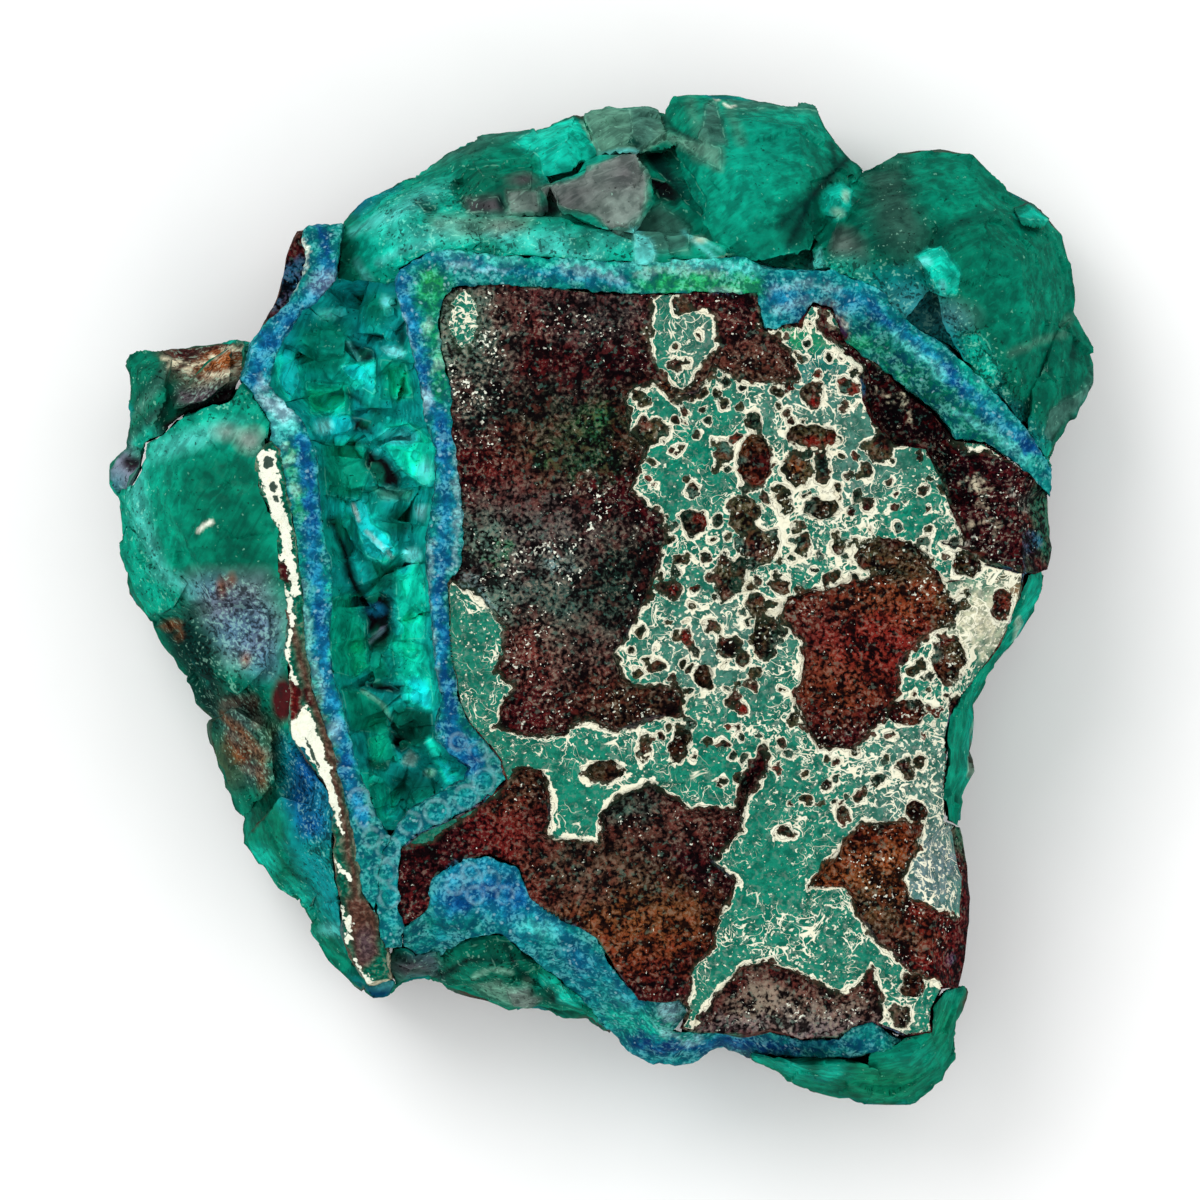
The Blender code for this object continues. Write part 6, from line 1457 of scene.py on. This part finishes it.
PATCH_PAINTS = [
    ("blue", 0.75, 0.5, area((432, 890), (448, 862), (480, 856), (515, 864), (532, 890), (560, 925),
         (600, 965), (630, 990), (650, 1015), (600, 1005), (540, 965), (500, 930), (440, 940))),
    ("turquoise", 0.6, 0.4, spot(524, 905, 8, 20), spot(545, 935, 20, 8, -35), spot(590, 975, 20, 7, -35),
         spot(450, 925, 24, 7)),
    ("navy", 0.85, 0.35, spot(490, 890, 26, 10), spot(460, 905, 14, 12), spot(520, 900, 12, 16),
         spot(575, 965, 22, 8, -40)),
    ("cyan", 0.5, 0.3, spot(540, 930, 12, 6), spot(410, 915, 8, 14), spot(620, 1000, 14, 5, -40)),
    ("teal", 0.85, 0.5, spot(470, 925, 34, 12), spot(545, 955, 34, 14, -35), spot(610, 1000, 40, 12, -30),
         spot(410, 925, 16, 14)),
    ("turquoise", 0.8, 0.4, area((600, 1008), (660, 1016), (700, 1042), (660, 1040), (610, 1024))),
    ("emerald", 0.9, 0.4, area((640, 1012), (690, 1010), (700, 1030), (670, 1036))),
    ("navy", 0.95, 0.35, streak(12, (640, 1045), (690, 1050), (740, 1044), (800, 1050), (870, 1050))),
    ("dark_blue", 0.8, 0.4, streak(7, (700, 1062), (780, 1050), (850, 1044)), spot(650, 1052, 24, 8)),
    ("emerald", 0.8, 0.4, area((800, 1048), (890, 1046), (885, 1058), (800, 1060))),
    ("pale_blue", 0.6, 0.2, streak(3, (660, 1030), (690, 1045), (700, 1040)), spot(672, 1012, 12, 9)),
]
# Node, paints and seed.
CRUSTS = [
    ("shattuckite_crust_host", CRUST_PAINTS, 71),
    ("shattuckite_crust_left", LEFT_CRUST_PAINTS, 81),
    ("shattuckite_patch", PATCH_PAINTS, 88),
]
# Small rings that stand up on the crust: middle and radius.
RINGS = [
    (484, 781, 11), (466, 798, 12), (437, 812, 12), (410, 823, 11), (388, 848, 11), (389, 897, 10),
    (359, 799, 10), (365, 818, 9), (497, 762, 9), (478, 752, 9), (458, 742, 8), (386, 872, 10),
    (470, 872, 8), (490, 880, 9), (455, 885, 9), (475, 895, 8), (505, 895, 8), (372, 838, 9),
]
RING_RIM = 0.11
RING_HEIGHT = 0.12
KNOB_SPACING = 0.72
KNOB_RADIUS = 0.62
KNOB_HEIGHT = 0.16
CRUST_ROUGHNESS = 0.06
CRUST_SINK = 0.08
CRUST_TINT_ROUGHNESS = 0.35
CRUST_LEVEL = 14.0
CRUST_FINE = 0.22
CRUST_COARSE = 0.6
# Heights between which the relief of the top comes in, and the colours of the sides give way to it.
CRUST_TOP_FADE = (11.0, 15.0)
CRUST_RIND_FADE = (17.0, 19.0)
CRUST_UPWARD = (-0.1, 0.35)
CRUST_BENDS = [(0.14, 0.8, 2), (0.3, 0.35, 4)]

SEAM_PAINTS = [
    ("sea", 0.7, 0.5, streak(7, (285, 605), (280, 640), (278, 664)), streak(6, (300, 745), (320, 790),
         (332, 820))),
    ("blue", 0.7, 0.3, spot(272, 655, 8, 12), spot(300, 760, 6, 14)),
    ("brown", 0.95, 0.25, streak(9, (286, 610), (299, 650), (306, 680), (321, 722), (331, 761), (344, 822),
         (352, 870), (362, 930))),
    ("maroon", 1.0, 0.15, area((276, 562), (288, 560), (290, 586), (280, 580))),
    ("maroon", 1.0, 0.12, spot(287, 700, 15, 23), streak(6, (304, 690), (310, 705))),
    ("red", 0.7, 0.3, spot(288, 702, 8, 14)),
    ("brown", 0.95, 0.2, area((345, 896), (380, 900), (378, 955), (360, 972), (350, 940))),
    ("mauve", 0.7, 0.3, spot(366, 945, 9, 16)),
    ("deep", 0.8, 0.3, streak(5, (330, 842), (338, 880), (344, 930))),
]
SEAM_WHITE = [
    area((250, 449), (272, 450), (279, 475), (281, 506), (290, 524), (294, 555), (300, 592), (293, 597),
         (286, 562), (279, 530), (268, 508), (261, 480), (259, 462)),
    streak(5, (275, 553), (288, 560)),
    streak(4, (276, 578), (290, 600), (292, 621), (287, 645), (286, 664), (296, 682)),
    area((283, 722), (300, 718), (304, 702), (317, 731), (325, 752), (339, 808), (343, 836), (336, 818),
         (318, 766), (305, 750), (283, 732)),
    spot(340, 912, 4, 7),
    spot(349, 925, 4, 8),
    spot(348, 937, 3, 5),
    spot(366, 984, 5, 9),
    streak(3, (334, 860), (344, 872), (350, 880)),
    streak(3, (356, 960), (364, 982)),
]
SEAM_HOLES = [spot(268, 462, 5, 5), spot(271, 486, 4, 6), spot(275, 499, 3, 4),
              streak(2, (306, 740), (320, 768))]
SEAM_FINE = 0.24
SEAM_ROUGHNESS = 0.16
SEAM_GRAIN = 0.05
CHALK_HEIGHT = 0.1
HOLE_DEPTH = 0.15
SEAM_RIND = 0.8
SEAM_UPWARD = (0.0, 0.4)
SEAM_BEND = [(0.12, 0.5, 93)]


def make_crust(node, jobs, seed):
    """A packed blue crust with knobs and rings, and its painted colours."""
    points, faces, normals = surface_of(node, CRUST_LEVEL, CRUST_FINE, CRUST_COARSE, CRUST_COARSE)
    near, _, _ = cells(points, KNOB_SPACING, seed)
    knob = np.clip(1.0 - (near / KNOB_RADIUS) ** 2, 0.0, 1.0)
    ring = np.full(len(points), NO_EDGE)
    for x, y, radius in RINGS:
        ring = np.minimum(ring, np.abs(spot(x, y, radius, radius)(points[:, :2])))
    up = smooth(normals[:, 2], *CRUST_UPWARD) * smooth(points[:, 2], *CRUST_TOP_FADE)
    rim = np.exp(-(ring / RING_RIM) ** 2)
    lift = KNOB_HEIGHT * knob + CRUST_ROUGHNESS * rough(points, 0.5, seed + 1) + RING_HEIGHT * rim * up
    points = pushed(points, normals, lift - CRUST_SINK)
    plan = bend(points[:, :2], CRUST_BENDS, seed)
    tint = paint(flood(len(points), "teal"), plan, jobs)
    side = rind(points, seed + 3, main="sea", second="emerald")
    blend(tint, (1.0 - up) * (1.0 - smooth(points[:, 2], *CRUST_RIND_FADE)), side)
    tint *= (1.0 + CRUST_TINT_ROUGHNESS * rough(points, 1.1, seed + 5))[:, None]
    colours = {"tint": np.clip(tint, 0.0, 1.0)}
    make_piece(node, (points, faces), {"ring": ring}, colours, crust_material(node))


def crust_material(node):
    """Clouded blue, near black in the gaps, with pale blotches, dots and rings."""
    s = Shader(node + "_look")
    tint = s.colour("tint")
    glow = s.glow(0.8, tint)
    shade = s.mix(0.6, tint, "dark_blue")
    cloud, fibre = s.waver(0.6, 3.0), s.waver(0.2)
    base = s.lay(tint, s.drop(cloud, 0.38, 0.54), 0.95, shade)
    base = s.lay(base, s.step(cloud, 0.53, 0.64), 0.6, s.mix(0.15, glow, "cyan"))
    blotch = s.step(s.times_plus(s.noise(0.9, 2.0), 0.5, s.times(fibre, 0.5)), 0.5, 0.62)
    base = s.lay(base, blotch, 0.55, s.mix(0.45, glow, s.mix(0.35, "cyan", "pale_blue")))
    base = s.lay(base, s.drop(fibre, 0.34, 0.5), 0.75, shade)
    dot = s.times(s.drop(s.cell(0.48), 0.14, 0.3), s.step(s.noise(0.8, 2.0), 0.5, 0.56))
    base = s.lay(base, dot, 0.6, s.mix(0.65, tint, "pale_blue"))
    ring = s.times(s.drop(s.value("ring"), 0.02, 0.2), s.step(s.noise(0.5, 2.0), 0.3, 0.6))
    base = s.lay(base, ring, 0.6, s.mix(0.4, tint, "pale_blue"))
    shine = s.times_plus(cloud, 0.3, 0.45)
    return s.finish(base, shine, s.bump(s.noise(0.2, 2.0), 0.14), Specular_IOR_Level=0.01)


def make_seam():
    """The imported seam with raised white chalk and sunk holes, and its painted colours."""
    points, faces, normals = surface_of("white_seam", CRUST_LEVEL, SEAM_FINE, CRUST_COARSE, CRUST_COARSE)
    up = smooth(normals[:, 2], *SEAM_UPWARD)
    plan = bend(points[:, :2], SEAM_BEND)
    chalk, hole = nearest_of(SEAM_WHITE, plan), nearest_of(SEAM_HOLES, plan)
    lift = SEAM_ROUGHNESS * rough(points, size=0.8, seed=91) + SEAM_GRAIN * waves(points, size=0.3, seed=92)
    lift += CHALK_HEIGHT * smooth(-chalk, -0.1, 0.3) * up
    lift -= HOLE_DEPTH * smooth(-hole, 0.0, 0.2) * up
    points = pushed(points, normals, lift)
    tint = paint(flood(len(points), "emerald"), plan, SEAM_PAINTS)
    side = rind(points, seed=94, main="brown", second="cream", third="emerald")
    blend(tint, (1.0 - up) * SEAM_RIND, side)
    values = {"chalk": np.where(up > 0.2, chalk, NO_EDGE), "hole": hole}
    make_piece("white_seam", (points, faces), values, {"tint": tint}, seam_material())


def seam_material():
    """Brown and green ground with ragged-edged chalky white over it."""
    s = Shader("white_seam_look")
    tint = s.colour("tint")
    crumb = s.waver(0.3, 4.0)
    jag = s.minus(s.noise(0.3), 0.5)
    ground = s.lay(tint, s.drop(crumb, 0.42, 0.52), 0.8, s.mix(0.7, tint, "black"))
    ground = s.lay(ground, s.step(crumb, 0.56, 0.64), 0.6, s.mix(0.6, tint, "beige"))
    chalk = s.lay("white", s.drop(crumb, 0.3, 0.44), 0.5, "cream")
    on_chalk = s.drop(s.times_plus(jag, 0.7, s.value("chalk")), -0.02, 0.05)
    base = s.mix(on_chalk, ground, chalk)
    # The holes are painted near black: painted shade in the shallow sunk holes.
    in_hole = s.drop(s.times_plus(jag, 0.4, s.value("hole")), -0.02, 0.04)
    base = s.lay(base, in_hole, 0.95, s.mix(0.4, "deep", "black"))
    shine = s.times_plus(crumb, 0.3, 0.6)
    return s.finish(base, shine, s.bump(crumb, 0.2), Specular_IOR_Level=0.02)


# ---- Studio: a pale floor, two soft lamps and an even white surround. Lengths are in metres. ----

CAMERA_HEIGHT = 3.022
FRAME_WIDTH = 0.072
# Height of the specimen's face, on which the frame's width is measured.
FACE_HEIGHT = 0.022
SENSOR = 36.0
NEAR_CLIP = 0.05
FLOOR_TONE = 0.94
LAMP_TARGET = (0.0, 0.0, 0.01)
# Name, place, size and power in watts.
LAMPS = [
    ("key", (-0.33, 0.38, 0.82), 0.5, 3.1),
    ("fill", (0.7, -0.4, 0.5), 0.7, 0.9),
]
SURROUND = (1.0, 1.0, 1.0, 1.0)


def make_plain(name, width, height, place, colour):
    """A flat rectangle, faintly mottled."""
    data = bpy.data.meshes.new(name)
    corners = [(-width / 2, -height / 2, 0), (width / 2, -height / 2, 0), (width / 2, height / 2, 0),
               (-width / 2, height / 2, 0)]
    data.from_pydata(corners, [], [(0, 1, 2, 3)])
    plain = bpy.data.objects.new(name, data)
    plain.location = place
    bpy.context.scene.collection.objects.link(plain)
    s = Shader(name)
    grain = s.noise(6.0, 2.0)
    data.materials.append(s.finish(s.lay(colour, grain, 0.05, "grey"), 0.9, s.bump(grain, 0.02)))
    return plain


def make_floor():
    PAINTS["floor"] = np.full(3, FLOOR_TONE)
    make_plain("floor", 3.0, 3.0, (0.0, 0.0, 0.0), "floor")


def make_lamp(name, place, size, power):
    lamp = bpy.data.lights.new(name, "AREA")
    lamp.shape = "DISK"
    lamp.size = size
    lamp.energy = power
    light = bpy.data.objects.new(name, lamp)
    light.location = place
    light.rotation_euler = (Vector(LAMP_TARGET) - Vector(place)).to_track_quat("-Z", "Y").to_euler()
    bpy.context.scene.collection.objects.link(light)


def make_surround():
    world = bpy.data.worlds.new("studio")
    bpy.context.scene.world = world
    world.use_nodes = True
    background = world.node_tree.nodes["Background"]
    background.inputs["Color"].default_value = SURROUND
    background.inputs["Strength"].default_value = 1.0
    bpy.context.scene.view_settings.view_transform = "Standard"


def make_camera():
    """A far camera that looks straight down on the face."""
    lens = bpy.data.cameras.new("camera")
    lens.sensor_width = SENSOR
    lens.lens = SENSOR * (CAMERA_HEIGHT - FACE_HEIGHT) / FRAME_WIDTH
    lens.clip_start = NEAR_CLIP
    camera = bpy.data.objects.new("camera", lens)
    camera.location = (0.0, 0.0, CAMERA_HEIGHT)
    bpy.context.scene.collection.objects.link(camera)
    bpy.context.scene.camera = camera


make_host()
for group in CRYSTAL_GROUPS:
    make_crystals(*group)
make_vug()
for crust in CRUSTS:
    make_crust(*crust)
make_seam()
make_floor()
for lamp_values in LAMPS:
    make_lamp(*lamp_values)
make_surround()
make_camera()
